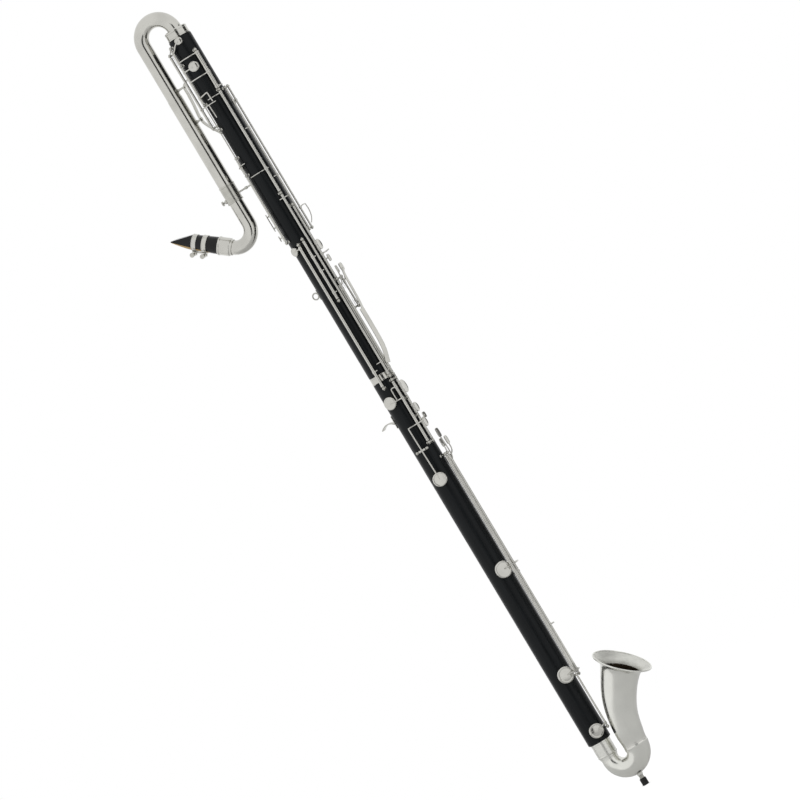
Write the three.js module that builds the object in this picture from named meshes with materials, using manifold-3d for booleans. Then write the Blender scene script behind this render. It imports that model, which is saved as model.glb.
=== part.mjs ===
// Contrabass clarinet: two-joint body, metal neck, crook and mouthpiece, bow and bell, floor peg and keywork.
// Millimetres, +Z up along the body. +X is the front, where the bell opens, and -X the player's side.
// The origin is the middle of the floor peg's flat foot.

import * as THREE from "three";
import { mergeVertices } from "three/addons/utils/BufferGeometryUtils.js";
import Module from "manifold-3d";

const wasm = await Module();
wasm.setup();

// Driving dimensions, millimetres

const seatGap = 0.3; // between pieces that seat on each other
const overrun = 2; // how far a cut runs past the face it leaves

const stack = { length: 1763, radius: 27, bore: 15, jointGap: 15.4, chamfer: 1.6 };
const tenon = { radius: 20.4, length: 25, corkWall: 1.2, corkLength: 18 };
const collar = { height: 20.4, radius: 26.5, chamfer: 2.4 };
const neck = { drop: 82.7, wall: 1.6, bowRadius: 16.5, sleeveRadius: 17.3, crookRadius: 15.8 };
const neckLengths = {
  socketDepth: 16, bowLeg: 128, sleeve: 220, clamp: 38, clampLap: 4, clampWall: 1.3, crookIn: 40,
};
const crookBend = { leg: 51, radius: 37, turn: 126.8 };
const receiver = {
  length: 28.5, radius: 19.8, beadRadius: 20.8, bead: 4, lip: 4, lipWall: 1.7, socketDepth: 28,
};
const mouth = {
  length: 106, radius: 18.9, endRadius: 17, tenonRadius: 14.2, corkWall: 1.4, bore: 9, tableOffset: 15.4,
};
const beak = {
  start: 60, tipOffset: 2.2, tipWall: 1.6, window: 15, windowStart: 56, windowEnd: 16, windowDepth: 6,
};
const reedSize = { start: 16, setIn: 0.3, vamp: 46, tipThickness: 0.6, tipShort: 1 };
const band = { first: 30.5, second: 54, width: 10.4, wall: 1.3, bridgeWidth: 14, bridge: 1.8 };
const lug = { reach: 7.5, width: 4, offset: 5.5, height: 6.4 };
const ligatureScrew = { radius: 1.6, reach: 12.5, headRadius: 5.4, head: 2.6 };
const ferrule = { height: 34.4, radius: 23.2, lip: 4.5 };
const bow = { depth: 10, bend: 34, startRadius: 19.3, endRadius: 27.5, wall: 1.4, pegShare: 0.8 };
const seamRing = { height: 6, wall: 1.4 };
const bell = { throatRadius: 43.5, rimRadius: 63.7, bead: 1.8, wall: 1.3 };
const bellWay = { rise: 171, reach: 69.5, firstPull: 70, lastPull: 75, tilt: 46 };
const foot = { tipLength: 16.3, tipRadius: 7.75, tipChamfer: 1.2, rodRadius: 5.7, show: 7.3 };
const pegSocket = { height: 4.4, radius: 6.8, shankRadius: 4 };
const ringSize = { radius: 7, wire: 1.6, plate: 1.6, plateWidth: 12, plateHeight: 24 };
const hook = { reach: 34, rise: 8, thickness: 2.2, width: 20, plateHeight: 30 };
const brace = { width: 14, thickness: 2.4, stud: 2.6 };
const bumper = { radius: 2, knob: 3.4, knobShare: 0.5, rise: 14.8 };
const clampScrew = { radius: 2, reach: 7, head: 2.6, headRadius: 5.5, boss: 4.5, bossReach: 3.4, rise: 11 };

// Keywork sizes

const hinge = {
  height: 7.5, tallHeight: 10.6, outerHeight: 12.5, sideHeight: 9.5, lowHeight: 14.5, steel: 1.3,
};
const tube = { thick: 4.3, main: 3.2, slim: 2.8, thin: 2.1, low: 3.5, slimLow: 3.4 };
const post = { foot: 3.4, stem: 2, ball: 3.9, footHeight: 1.6, crown: 3.6, waist: 3, flat: 1.2 };
const tubeEnd = 4.4; // from a post's middle to the end of the tube beside it
const arm = { radius: 1.4, slim: 1.2 };
const cupSize = {
  rise: 4.2, padThickness: 2.6, rim: 1.2, rollShare: 0.86, gap: 0.5, chimneyRise: 1.2, holeShare: 0.6,
};
const cupRadius = {
  vent: 9, side: 6.5, octave: 12, back: 10.7, lowG: 15, cross: 16.2, low: 19.3, lowMid: 18.9, lowEnd: 16.5,
};
const plate = { radius: 15.6, leftRadius: 12.6, smallRadius: 11.4, thickness: 2.6, lift: 3.4 };
const touch = { thickness: 2 };

const facets = { tube: 6, post: 5, arm: 5, cup: 12, body: 20, neck: 12, mouth: 20, bell: 20 };
const stepsOf = { pipeBend: 8, strap: 16, hook: 6, slab: 6, bend: 2, arcDegrees: 18 };

// Heights along the body as shares of its black length, counted from its lower end

const heights = {
  jointSeam: 0.522, strapRing: 0.6434, thumbHook: 0.4622, braceTop: 0.9512, braceFoot: 0.872,
  braceUpperStud: 0.9457, braceLowerStud: 0.9012,
};

// Heights of the posts on each hinge line, shares as above

const postShares = {
  left: [0.9921, 0.9671, 0.9122, 0.8768, 0.8366, 0.8122, 0.7171],
  octave: [0.9854, 0.8829],
  main: [0.9761, 0.92, 0.7732, 0.5141],
  side: [0.9183, 0.7183],
  front: [0.7537, 0.6482, 0.5141],
  levers: [0.6482, 0.6073],
  back: [0.7073, 0.5043],
  bridge: [0.711, 0.6244],
  lowG: [0.5085, 0.4201],
  plates: [0.5085, 0.4811, 0.4561, 0.4201],
  lowInner: [0.3976, 0.0122],
  lowOuter: [0.3976, 0.0848],
  lowFar: [0.3976, 0.2293],
};

// Angles round the body from its front towards its right side, degrees

const angles = {
  left: 128, octave: 150, main: 43, sideInner: 12, sideOuter: -7, front: 25, back: 86, bridge: 63,
  lowG: 45, plates: 25, lowInner: 21, lowOuter: -6, lowFar: -24, fork: 81.5,
};

// Heights worked out from the sizes above

const peakOfFoot = foot.tipLength + foot.show + pegSocket.height;
const bowFloor = peakOfFoot + (bow.startRadius + bow.endRadius) / 2;
const ferruleFoot = bowFloor + bow.bend + bow.depth;
const stackFoot = ferruleFoot + ferrule.height + seatGap;
const stackTop = stackFoot + stack.length;
const seamHeight = stackFoot + heights.jointSeam * stack.length;
const lowerTop = seamHeight - stack.jointGap;
const collarTop = stackTop + seatGap + collar.height;
const bowCentre = collarTop;
const sleeveTop = bowCentre - neckLengths.bowLeg;
const sleeveFoot = sleeveTop - neckLengths.sleeve;
const clampFoot = sleeveFoot - neckLengths.clamp;
const crookCentre = clampFoot - crookBend.leg;
const pegOffset = bow.bend + (bow.endRadius - bow.startRadius) * bow.pegShare;
const axisX = -pegOffset;

// Materials

const silver = material(0xc9c9c4, 0.22, 1);
const nickel = material(0xb9b8b2, 0.3, 1);
const ebonite = material(0x17191b, 0.32, 0);
const blackBody = material(0x1d2123, 0.38, 0);
const rubber = material(0x121212, 0.8, 0);
const cork = material(0xb98f5f, 0.9, 0);
const cane = material(0xd8bd7a, 0.6, 0);

function material(colour, roughness, metalness) {
  return new THREE.MeshStandardMaterial({ color: colour, roughness, metalness });
}

// Solids: every piece is a closed manifold, joined and cut here

function solid(geometry) {
  const bare = geometry.clone();
  bare.deleteAttribute("normal");
  bare.deleteAttribute("uv");
  const merged = mergeVertices(bare, 1e-4);
  const triVerts = new Uint32Array(merged.index.array);
  const vertProperties = merged.attributes.position.array;
  const made = new wasm.Manifold(new wasm.Mesh({ numProp: 3, vertProperties, triVerts }));
  if (made.volume() > 0) return made;
  for (let i = 0; i < triVerts.length; i += 3) {
    [triVerts[i + 1], triVerts[i + 2]] = [triVerts[i + 2], triVerts[i + 1]];
  }
  return new wasm.Manifold(new wasm.Mesh({ numProp: 3, vertProperties, triVerts }));
}

function join(pieces) {
  return pieces.reduce((sum, piece) => sum.add(piece));
}

function geometryOf(made) {
  const mesh = made.getMesh();
  const geometry = new THREE.BufferGeometry();
  const positions = new Float32Array(mesh.numVert * 3);
  for (let i = 0; i < mesh.numVert; i++) {
    positions.set(mesh.vertProperties.subarray(i * mesh.numProp, i * mesh.numProp + 3), i * 3);
  }
  geometry.setAttribute("position", new THREE.BufferAttribute(positions, 3));
  geometry.setIndex(new THREE.BufferAttribute(new Uint32Array(mesh.triVerts), 1));
  geometry.computeVertexNormals();
  return geometry;
}

function degrees(angle) {
  return THREE.MathUtils.degToRad(angle);
}

function point(x, y, z) {
  return new THREE.Vector3(x, y, z);
}

// A point at an angle round an upright axis, a distance out from it and a height along it
function polar(angle, radius, height) {
  return point(radius * Math.cos(degrees(angle)), -radius * Math.sin(degrees(angle)), height);
}

// A turned shape with its axis along Z, from pairs of radius and height
function turned(profile, sides) {
  const points = profile.map(([radius, height]) => new THREE.Vector2(radius, height));
  return new THREE.LatheGeometry(points, sides).rotateX(Math.PI / 2);
}

// The profile of a ring or sleeve, closed on itself
function sleeveProfile(inner, outer, low, high) {
  return [[inner, low], [outer, low], [outer, high], [inner, high], [inner, low]];
}

function disc(radius, low, high, sides) {
  return turned([[0, low], [radius, low], [radius, high], [0, high]], sides);
}

function sleeve(inner, outer, low, high, sides) {
  return turned(sleeveProfile(inner, outer, low, high), sides);
}

// A round bar between two points
function bar(from, to, radius, sides = facets.arm) {
  const along = to.clone().sub(from);
  const rod = new THREE.CylinderGeometry(radius, radius, along.length(), sides);
  const turn = new THREE.Quaternion().setFromUnitVectors(point(0, 1, 0), along.clone().normalize());
  const middle = from.clone().add(to).multiplyScalar(0.5);
  rod.applyMatrix4(new THREE.Matrix4().compose(middle, turn, point(1, 1, 1)));
  return solid(rod);
}

// A round bar with rounded corners through several points
function bentBar(points, radius, steps = stepsOf.bend, sides = facets.arm) {
  const way = new THREE.CatmullRomCurve3(points, false, "centripetal");
  return sweep(way, circle(radius, sides), steps * (points.length - 1));
}

function circle(radius, sides) {
  const corners = [];
  for (let i = 0; i < sides; i++) {
    const turn = (2 * Math.PI * i) / sides;
    corners.push(new THREE.Vector2(radius * Math.cos(turn), radius * Math.sin(turn)));
  }
  return new THREE.Shape(corners);
}

function rectangle(width, thickness) {
  const [w, t] = [width / 2, thickness / 2];
  return new THREE.Shape([[-w, -t], [w, -t], [w, t], [-w, t]].map(([x, y]) => new THREE.Vector2(x, y)));
}

function sweep(way, shape, steps) {
  return solid(new THREE.ExtrudeGeometry(shape, { steps, extrudePath: way, bevelEnabled: false }));
}

// A bend in the plane of the neck and bell, from a centre, a radius and two angles counted from +X towards +Z
class Bend extends THREE.Curve {
  constructor(centreX, centreZ, radius, from, to) {
    super();
    Object.assign(this, { centreX, centreZ, radius, from, to });
  }
  getPoint(share, target = new THREE.Vector3()) {
    const turn = degrees(this.from + (this.to - this.from) * share);
    return target.set(
      this.centreX + this.radius * Math.cos(turn), 0, this.centreZ + this.radius * Math.sin(turn),
    );
  }
}

// An arc round the body at changing angle, distance and height
class Wrap extends THREE.Curve {
  constructor(start, end) {
    super();
    Object.assign(this, { start, end });
  }
  getPoint(share, target = new THREE.Vector3()) {
    const [a, b] = [this.start, this.end];
    const mix = (i) => a[i] + (b[i] - a[i]) * share;
    return target.copy(polar(mix(0), mix(1), mix(2)));
  }
}

// A path made of several curves in one plane, followed at a steady rate
function wayOf(curves) {
  const way = new THREE.CurvePath();
  curves.forEach((curve) => way.add(curve));
  return way;
}

function line(from, to) {
  return new THREE.LineCurve3(from, to);
}

// A turned shape laid along a path in the plane of the neck and bell: pairs of radius and share of the path
function turnedAlong(profile, way, sides) {
  const points = profile.map(([radius, share]) => new THREE.Vector2(radius, share));
  const geometry = new THREE.LatheGeometry(points, sides);
  const place = geometry.attributes.position;
  const across = point(0, 1, 0);
  for (let i = 0; i < place.count; i++) {
    const share = Math.min(Math.max(place.getY(i), 0), 1);
    const tangent = way.getTangentAt(share).normalize();
    const out = tangent.clone().cross(across);
    const spot = way.getPointAt(share);
    spot.addScaledVector(out, place.getX(i)).addScaledVector(across, place.getZ(i));
    place.setXYZ(i, spot.x, spot.y, spot.z);
  }
  return solid(geometry);
}

// A tube along a path of lines and bends, with a ring at each end of a line and several along a bend
function pipe(way, outer, inner, sides) {
  const ends = way.getCurveLengths();
  const shares = [0];
  way.curves.forEach((curve, i) => {
    const [from, to] = [i === 0 ? 0 : ends[i - 1], ends[i]];
    const count = curve instanceof Bend ? stepsOf.pipeBend : 1;
    for (let k = 1; k <= count; k++) shares.push((from + ((to - from) * k) / count) / ends.at(-1));
  });
  const wall = [...shares.map((share) => [outer, share]), ...shares.reverse().map((share) => [inner, share])];
  return turnedAlong([...wall, wall[0]], way, sides);
}

// The scene graph: the body's axis stands behind the peg, the mouthpiece hangs in a tilted group of its own

const root = new THREE.Group();
const upright = new THREE.Group();
upright.position.x = axisX;
root.add(upright);

function add(name, made, look, parent = upright) {
  const mesh = new THREE.Mesh(geometryOf(made), look);
  mesh.name = name;
  parent.add(mesh);
  return mesh;
}

function heightAt(share) {
  return stackFoot + share * stack.length;
}

// Body joints with their bore, tenons, chimneys and tone holes

const chimneys = [];

function chimney(angle, height, radius) {
  chimneys.push({ angle, height, radius });
}

function radially(made, angle, radius, height) {
  const turnOut = new THREE.Matrix4().makeRotationY(Math.PI / 2);
  const spin = new THREE.Matrix4().makeRotationZ(-degrees(angle));
  const place = polar(angle, radius, height);
  const carry = new THREE.Matrix4().makeTranslation(place.x, place.y, place.z);
  return solid(made.applyMatrix4(turnOut).applyMatrix4(spin).applyMatrix4(carry));
}

function bodyJoint(profile, low, high) {
  let made = solid(turned(profile, facets.body));
  for (const hole of chimneys.filter(({ height }) => height > low && height < high)) {
    const start = Math.sqrt(stack.radius ** 2 - hole.radius ** 2) - overrun / 2;
    const rise = disc(hole.radius, 0, stack.radius + cupSize.chimneyRise - start, facets.cup);
    made = made.add(radially(rise, hole.angle, start, hole.height));
  }
  for (const hole of chimneys.filter(({ height }) => height > low && height < high)) {
    const way = disc(hole.radius * cupSize.holeShare, 0, stack.radius, facets.cup / 2);
    made = made.subtract(radially(way, hole.angle, stack.bore / 2, hole.height));
  }
  return made.subtract(solid(disc(stack.bore, low - overrun, high + overrun, facets.body)));
}

function bodyJoints() {
  const { radius, bore, chamfer } = stack;
  const tenonFoot = seamHeight - stack.jointGap - tenon.length;
  const upper = [
    [bore, tenonFoot], [tenon.radius, tenonFoot], [tenon.radius, seamHeight], [radius - chamfer, seamHeight],
    [radius, seamHeight + chamfer], [radius, stackTop - chamfer], [radius - chamfer, stackTop],
    [bore, stackTop], [bore, tenonFoot],
  ];
  const socket = tenon.radius + tenon.corkWall + seatGap;
  const socketFloor = tenonFoot - seatGap;
  const bellTenonFoot = stackFoot - tenon.length;
  const lower = [
    [bore, bellTenonFoot], [tenon.radius, bellTenonFoot], [tenon.radius, stackFoot],
    [radius - chamfer, stackFoot], [radius, stackFoot + chamfer], [radius, lowerTop - seatGap],
    [socket, lowerTop - seatGap],
    [socket, socketFloor], [bore, socketFloor], [bore, bellTenonFoot],
  ];
  add("upper_joint", bodyJoint(upper, seamHeight, stackTop), blackBody);
  add("lower_joint", bodyJoint(lower, bellTenonFoot, socketFloor), blackBody);
  const outer = radius + seatGap;
  add("tenon_ring", solid(sleeve(socket, outer, lowerTop, seamHeight - seatGap, facets.body)), silver);
  const corkInner = tenon.radius + seatGap;
  const corkOuter = tenon.radius + tenon.corkWall;
  const slack = (tenon.length - tenon.corkLength) / 2;
  for (const [name, low] of [["tenon_cork", tenonFoot], ["bell_tenon_cork", bellTenonFoot]]) {
    const ring = sleeve(corkInner, corkOuter, low + slack, low + slack + tenon.corkLength, facets.body);
    add(name, solid(ring), cork);
  }
}

// Top collar, neck bow, sleeve, clamp, crook

function neckParts() {
  const { drop, wall, bowRadius, sleeveRadius, crookRadius } = neck;
  const low = stackTop + seatGap;
  const hole = bowRadius + seatGap;
  const floor = collarTop - neckLengths.socketDepth;
  const profile = [
    [stack.bore, low], [collar.radius, low], [collar.radius, collarTop - collar.chamfer],
    [collar.radius - collar.chamfer, collarTop], [hole, collarTop], [hole, floor],
    [stack.bore, floor], [stack.bore, low],
  ];
  add("neck_socket", solid(turned(profile, facets.body)), silver);

  const back = -drop;
  const over = wayOf([
    line(point(0, 0, floor + seatGap), point(0, 0, bowCentre)),
    new Bend(back / 2, bowCentre, drop / 2, 0, 180),
    line(point(back, 0, bowCentre), point(back, 0, sleeveTop - neckLengths.socketDepth)),
  ]);
  add("neck_bow", pipe(over, bowRadius, bowRadius - wall, facets.neck), silver);

  const sleeveInner = bowRadius + seatGap;
  const sleeveProfileOuter = [
    [sleeveInner, sleeveFoot], [sleeveRadius, sleeveFoot], [sleeveRadius, sleeveTop],
    [sleeveInner, sleeveTop], [sleeveInner, sleeveFoot],
  ];
  const sleeveMesh = add("neck_sleeve", solid(turned(sleeveProfileOuter, facets.neck)), silver);
  sleeveMesh.position.x = back;

  const clampOuter = sleeveRadius + neckLengths.clampWall;
  const clampInner = crookRadius + seatGap;
  const clampTop = sleeveFoot + neckLengths.clampLap;
  const clampProfile = [
    [clampInner, clampFoot], [clampOuter, clampFoot], [clampOuter, clampTop],
    [sleeveRadius + seatGap, clampTop], [sleeveRadius + seatGap, sleeveFoot - seatGap],
    [clampInner, sleeveFoot - seatGap], [clampInner, clampFoot],
  ];
  const bossHeight = clampFoot + clampScrew.rise;
  const bossEnd = clampOuter + clampScrew.bossReach;
  const boss = bar(
    point(-clampInner - wall, 0, bossHeight), point(-bossEnd, 0, bossHeight), clampScrew.boss, facets.cup / 2,
  );
  const bossHole = bar(
    point(-clampInner + overrun, 0, bossHeight), point(-bossEnd - overrun, 0, bossHeight),
    clampScrew.radius + seatGap, facets.cup,
  );
  const clamp = solid(turned(clampProfile, facets.neck)).add(boss).subtract(bossHole);
  add("neck_receiver", clamp, nickel).position.x = back;

  const headStart = bossEnd + seatGap;
  const headEnd = headStart + clampScrew.reach;
  const screw = join([
    bar(point(0, 0, 0), point(-(headEnd - clampInner - seatGap), 0, 0), clampScrew.radius, facets.post),
    bar(
      point(-(headEnd - clampInner - seatGap - clampScrew.head), 0, 0),
      point(-(headEnd - clampInner - seatGap), 0, 0), clampScrew.headRadius, facets.cup / 2,
    ),
  ]);
  const screwMesh = add("neck_clamp_screw", screw, nickel);
  screwMesh.position.set(back - clampInner - seatGap, 0, bossHeight);

  const crookTop = clampFoot + neckLengths.crookIn;
  const centreX = back - crookBend.radius;
  const down = wayOf([
    line(point(back, 0, crookTop), point(back, 0, crookCentre)),
    new Bend(centreX, crookCentre, crookBend.radius, 0, -crookBend.turn),
    line(bendEnd(), crookMouth()),
  ]);
  add("crook", pipe(down, crookRadius, crookRadius - wall, facets.neck), silver);
}

// Where the crook's bend ends, and its mouth a straight lip further on
function bendEnd() {
  const turn = degrees(-crookBend.turn);
  const centreX = -neck.drop - crookBend.radius;
  return point(
    centreX + crookBend.radius * Math.cos(turn), 0, crookCentre + crookBend.radius * Math.sin(turn),
  );
}

function crookMouth() {
  const turn = degrees(-crookBend.turn);
  return bendEnd().add(point(Math.sin(turn), 0, -Math.cos(turn)).multiplyScalar(receiver.lip + seatGap));
}

// The strap that braces the neck, and the bumper post below it

function braceParts() {
  const { radius } = stack;
  const { braceTop, braceFoot, braceUpperStud, braceLowerStud } = heights;
  const standOff = neck.drop - neck.sleeveRadius - radius;
  const outShares = [0, 0.32, 0.53, 0.56, 0.6, 0.68, 0.62, 0.3, 0.1, 0];
  const downShares = [0, 0.02, 0.07, 0.2, 0.38, 0.6, 0.7, 0.87, 0.95, 1];
  const inner = radius + seatGap + brace.thickness / 2;
  const points = outShares.map((out, i) => {
    const share = braceTop + (braceFoot - braceTop) * downShares[i];
    return point(-(inner + out * standOff), 0, heightAt(share));
  });
  const way = new THREE.CatmullRomCurve3(points, false, "centripetal");
  const strap = sweep(way, rectangle(brace.width, brace.thickness), stepsOf.strap);
  const studShares = [[braceUpperStud, 0.5, neck.bowRadius], [braceLowerStud, 0.6, neck.sleeveRadius]];
  const bars = studShares.map(([share, out, tubeRadius]) =>
    bar(
      point(-(inner + out * standOff), 0, heightAt(share)),
      point(-(neck.drop - tubeRadius - seatGap), 0, heightAt(share)), brace.stud, facets.post,
    ));
  add("neck_brace", join([strap, ...bars]), nickel);

  const reach = neck.drop - neck.sleeveRadius - neckLengths.clampWall - seatGap;
  const start = radius + seatGap;
  const z = clampFoot + bumper.rise;
  const middle = start + (reach - start) * bumper.knobShare;
  const pin = bar(point(-start, 0, z), point(-reach, 0, z), bumper.radius, facets.post);
  const knob = bar(
    point(-(middle - bumper.knob), 0, z), point(-(middle + bumper.knob), 0, z), bumper.knob, facets.post,
  );
  add("body_bumper", pin.add(knob), nickel);
}

// Mouthpiece end, along a tilted axis from the crook's mouth

function mouthParts() {
  const tilt = 180 - crookBend.turn;
  const group = new THREE.Group();
  group.position.copy(crookMouth());
  group.rotation.y = -degrees(tilt);
  upright.add(group);

  const bead = receiver.length - receiver.bead;
  const lipInner = neck.crookRadius + seatGap;
  const socket = mouth.tenonRadius + mouth.corkWall + seatGap;
  const receiverProfile = [
    [lipInner, -receiver.lip], [lipInner + receiver.lipWall, -receiver.lip],
    [lipInner + receiver.lipWall, 0], [receiver.radius, receiver.lip / 2], [receiver.radius, bead],
    [receiver.beadRadius, bead], [receiver.beadRadius, receiver.length], [socket, receiver.length],
    [socket, receiver.length - receiver.socketDepth], [lipInner, receiver.length - receiver.socketDepth],
    [lipInner, -receiver.lip],
  ];
  add("mouthpiece_receiver", solid(turned(receiverProfile, facets.mouth)), silver, group);

  const start = receiver.length + seatGap;
  const tip = start + mouth.length;
  const tenonFoot = start - receiver.socketDepth + seatGap;
  const { radius } = mouth;
  const body = solid(turned([
    [0, tenonFoot], [mouth.tenonRadius, tenonFoot], [mouth.tenonRadius, start], [radius, start],
    [mouth.endRadius, start + beak.start], [mouth.endRadius, tip], [0, tip],
  ], facets.mouth));
  const boreCut = solid(disc(mouth.bore, tenonFoot - overrun, start + beak.windowStart, facets.cup));
  const far = radius + overrun;
  const tableX = (z) => {
    const share = (z - start - reedSize.start) / (mouth.length - reedSize.start);
    return -mouth.tableOffset + (mouth.tableOffset - beak.tipOffset - beak.tipWall) * share;
  };
  const tableFoot = start + reedSize.start;
  const pastTip = tip + overrun;
  const tableCut = slice([
    [-far, tableFoot], [tableX(tableFoot), tableFoot], [tableX(pastTip), pastTip], [-far, pastTip],
  ]);
  const windowTop = tip - beak.windowEnd;
  const windowLow = start + beak.windowStart - overrun;
  const windowCut = slice([
    [-far, windowLow], [tableX(windowLow) + beak.windowDepth, windowLow],
    [tableX(windowTop) + beak.windowDepth / 2, windowTop], [-far, windowTop],
  ], beak.window);
  const beakCut = slice([
    [mouth.endRadius, start + beak.start], [-beak.tipOffset, tip], [-beak.tipOffset, pastTip], [far, pastTip],
    [far, start + beak.start],
  ]);
  const shaped = body.subtract(boreCut).subtract(tableCut).subtract(windowCut).subtract(beakCut);
  add("mouthpiece", shaped, ebonite, group);

  const corkLow = tenonFoot + overrun;
  const corkRing = sleeve(
    mouth.tenonRadius + seatGap, mouth.tenonRadius + mouth.corkWall, corkLow, start - overrun * 2,
    facets.mouth,
  );
  add("mouthpiece_cork", solid(corkRing), cork, group);

  const reedTip = tip - reedSize.tipShort;
  const vampStart = reedTip - reedSize.vamp;
  const reedFoot = tableFoot + seatGap;
  const blank = solid(turned([
    [0, reedFoot], [mouthRadius(reedSize.start) - reedSize.setIn, reedFoot],
    [mouth.endRadius - reedSize.setIn, start + beak.start], [mouth.endRadius - reedSize.setIn, reedTip],
    [0, reedTip],
  ], facets.mouth));
  const flat = (z) => tableX(z) - seatGap;
  const keep = slice([
    [flat(start), start], [flat(pastTip), pastTip], [flat(pastTip) - reedSize.tipThickness, pastTip],
    [flat(reedTip) - reedSize.tipThickness, reedTip], [-mouth.endRadius, vampStart], [-far, vampStart],
    [-far, start],
  ]);
  add("reed", blank.intersect(keep), cane, group);

  ligatureParts(group, start);
}

// The mouthpiece's radius a distance above its shoulder
function mouthRadius(above) {
  return mouth.radius + (mouth.endRadius - mouth.radius) * Math.min(above / beak.start, 1);
}

// A slice of material across the mouthpiece, from an outline of distance and height
function slice(outline, width = mouth.radius * 2 + overrun) {
  const shape = new THREE.Shape(outline.map(([x, z]) => new THREE.Vector2(x, z)));
  const made = new THREE.ExtrudeGeometry(shape, { depth: width, bevelEnabled: false });
  return solid(made.rotateX(Math.PI / 2).translate(0, width / 2, 0));
}

function boxSolid(low, high) {
  const size = high.map((value, i) => value - low[i]);
  const box = new THREE.BoxGeometry(...size);
  return solid(box.translate(...low.map((value, i) => value + size[i] / 2)));
}

function ligatureParts(group, start) {
  const half = band.width / 2;
  const bands = [start + band.first, start + band.second];
  const inners = [band.first, band.second].map((above) => mouthRadius(above - half) + seatGap);
  const rings = bands.map((z, i) =>
    solid(sleeve(inners[i], inners[i] + band.wall, z - half, z + half, facets.mouth)));
  const outer = inners[0] + band.wall;
  const least = inners[1] + band.wall - seatGap;
  const bridge = boxSolid(
    [-outer - band.bridge, -band.bridgeWidth / 2, bands[0] - half],
    [-least, band.bridgeWidth / 2, bands[1] + half],
  );
  const screwX = -(outer + lug.reach / 2 + ligatureScrew.radius);
  const lugs = [];
  const holes = [];
  for (const z of bands) {
    for (const side of [-1, 1]) {
      const middle = side * lug.offset;
      lugs.push(boxSolid(
        [-outer - lug.reach - ligatureScrew.radius, middle - lug.width / 2, z - lug.height / 2],
        [-least, middle + lug.width / 2, z + lug.height / 2],
      ));
    }
    holes.push(bar(
      point(screwX, -lug.offset - lug.width, z), point(screwX, lug.offset + lug.width, z),
      ligatureScrew.radius + seatGap, facets.cup,
    ));
  }
  const made = holes.reduce((left, hole) => left.subtract(hole), join([...rings, bridge, ...lugs]));
  add("ligature", made, silver, group);
  bands.forEach((z, i) => {
    const end = lug.offset + lug.width / 2;
    const screw = join([
      bar(point(0, end, 0), point(0, -end - ligatureScrew.reach, 0), ligatureScrew.radius, facets.post),
      bar(
        point(0, -end - ligatureScrew.reach + ligatureScrew.head, 0), point(0, -end - ligatureScrew.reach, 0),
        ligatureScrew.headRadius, facets.cup / 2,
      ),
    ]);
    add("ligature_screw_" + (i + 1), screw, nickel, group).position.set(screwX, 0, z);
  });
}

// Bell end: ferrule, bow with its seam ring, flaring bell with a rolled rim, peg socket and peg

const bowStraightShares = [0, 0.1];
const bowBendShares = [0.19, 0.29, 0.39, 0.49, 0.59, 0.69, 0.79, 0.9, 1];

function bowWay() {
  const top = ferruleFoot + ferrule.lip;
  return wayOf([
    line(point(0, 0, top), point(0, 0, bowFloor + bow.bend)),
    new Bend(bow.bend, bowFloor + bow.bend, bow.bend, 180, 360),
  ]);
}

function bowProfile(grow, wall) {
  const from = bowStraightShares.at(-1);
  const swell = (share) => Math.max(0, (share - from) / (1 - from));
  const outer = (share) => bow.startRadius + (bow.endRadius - bow.startRadius) * swell(share) + grow;
  const shares = [...bowStraightShares, ...bowBendShares];
  const out = shares.map((share) => [outer(share), share]);
  if (!wall) return [[0, 0], ...out, [0, 1]];
  const back = [...shares].reverse().map((share) => [outer(share) - wall, share]);
  return [...out, ...back, out[0]];
}

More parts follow.
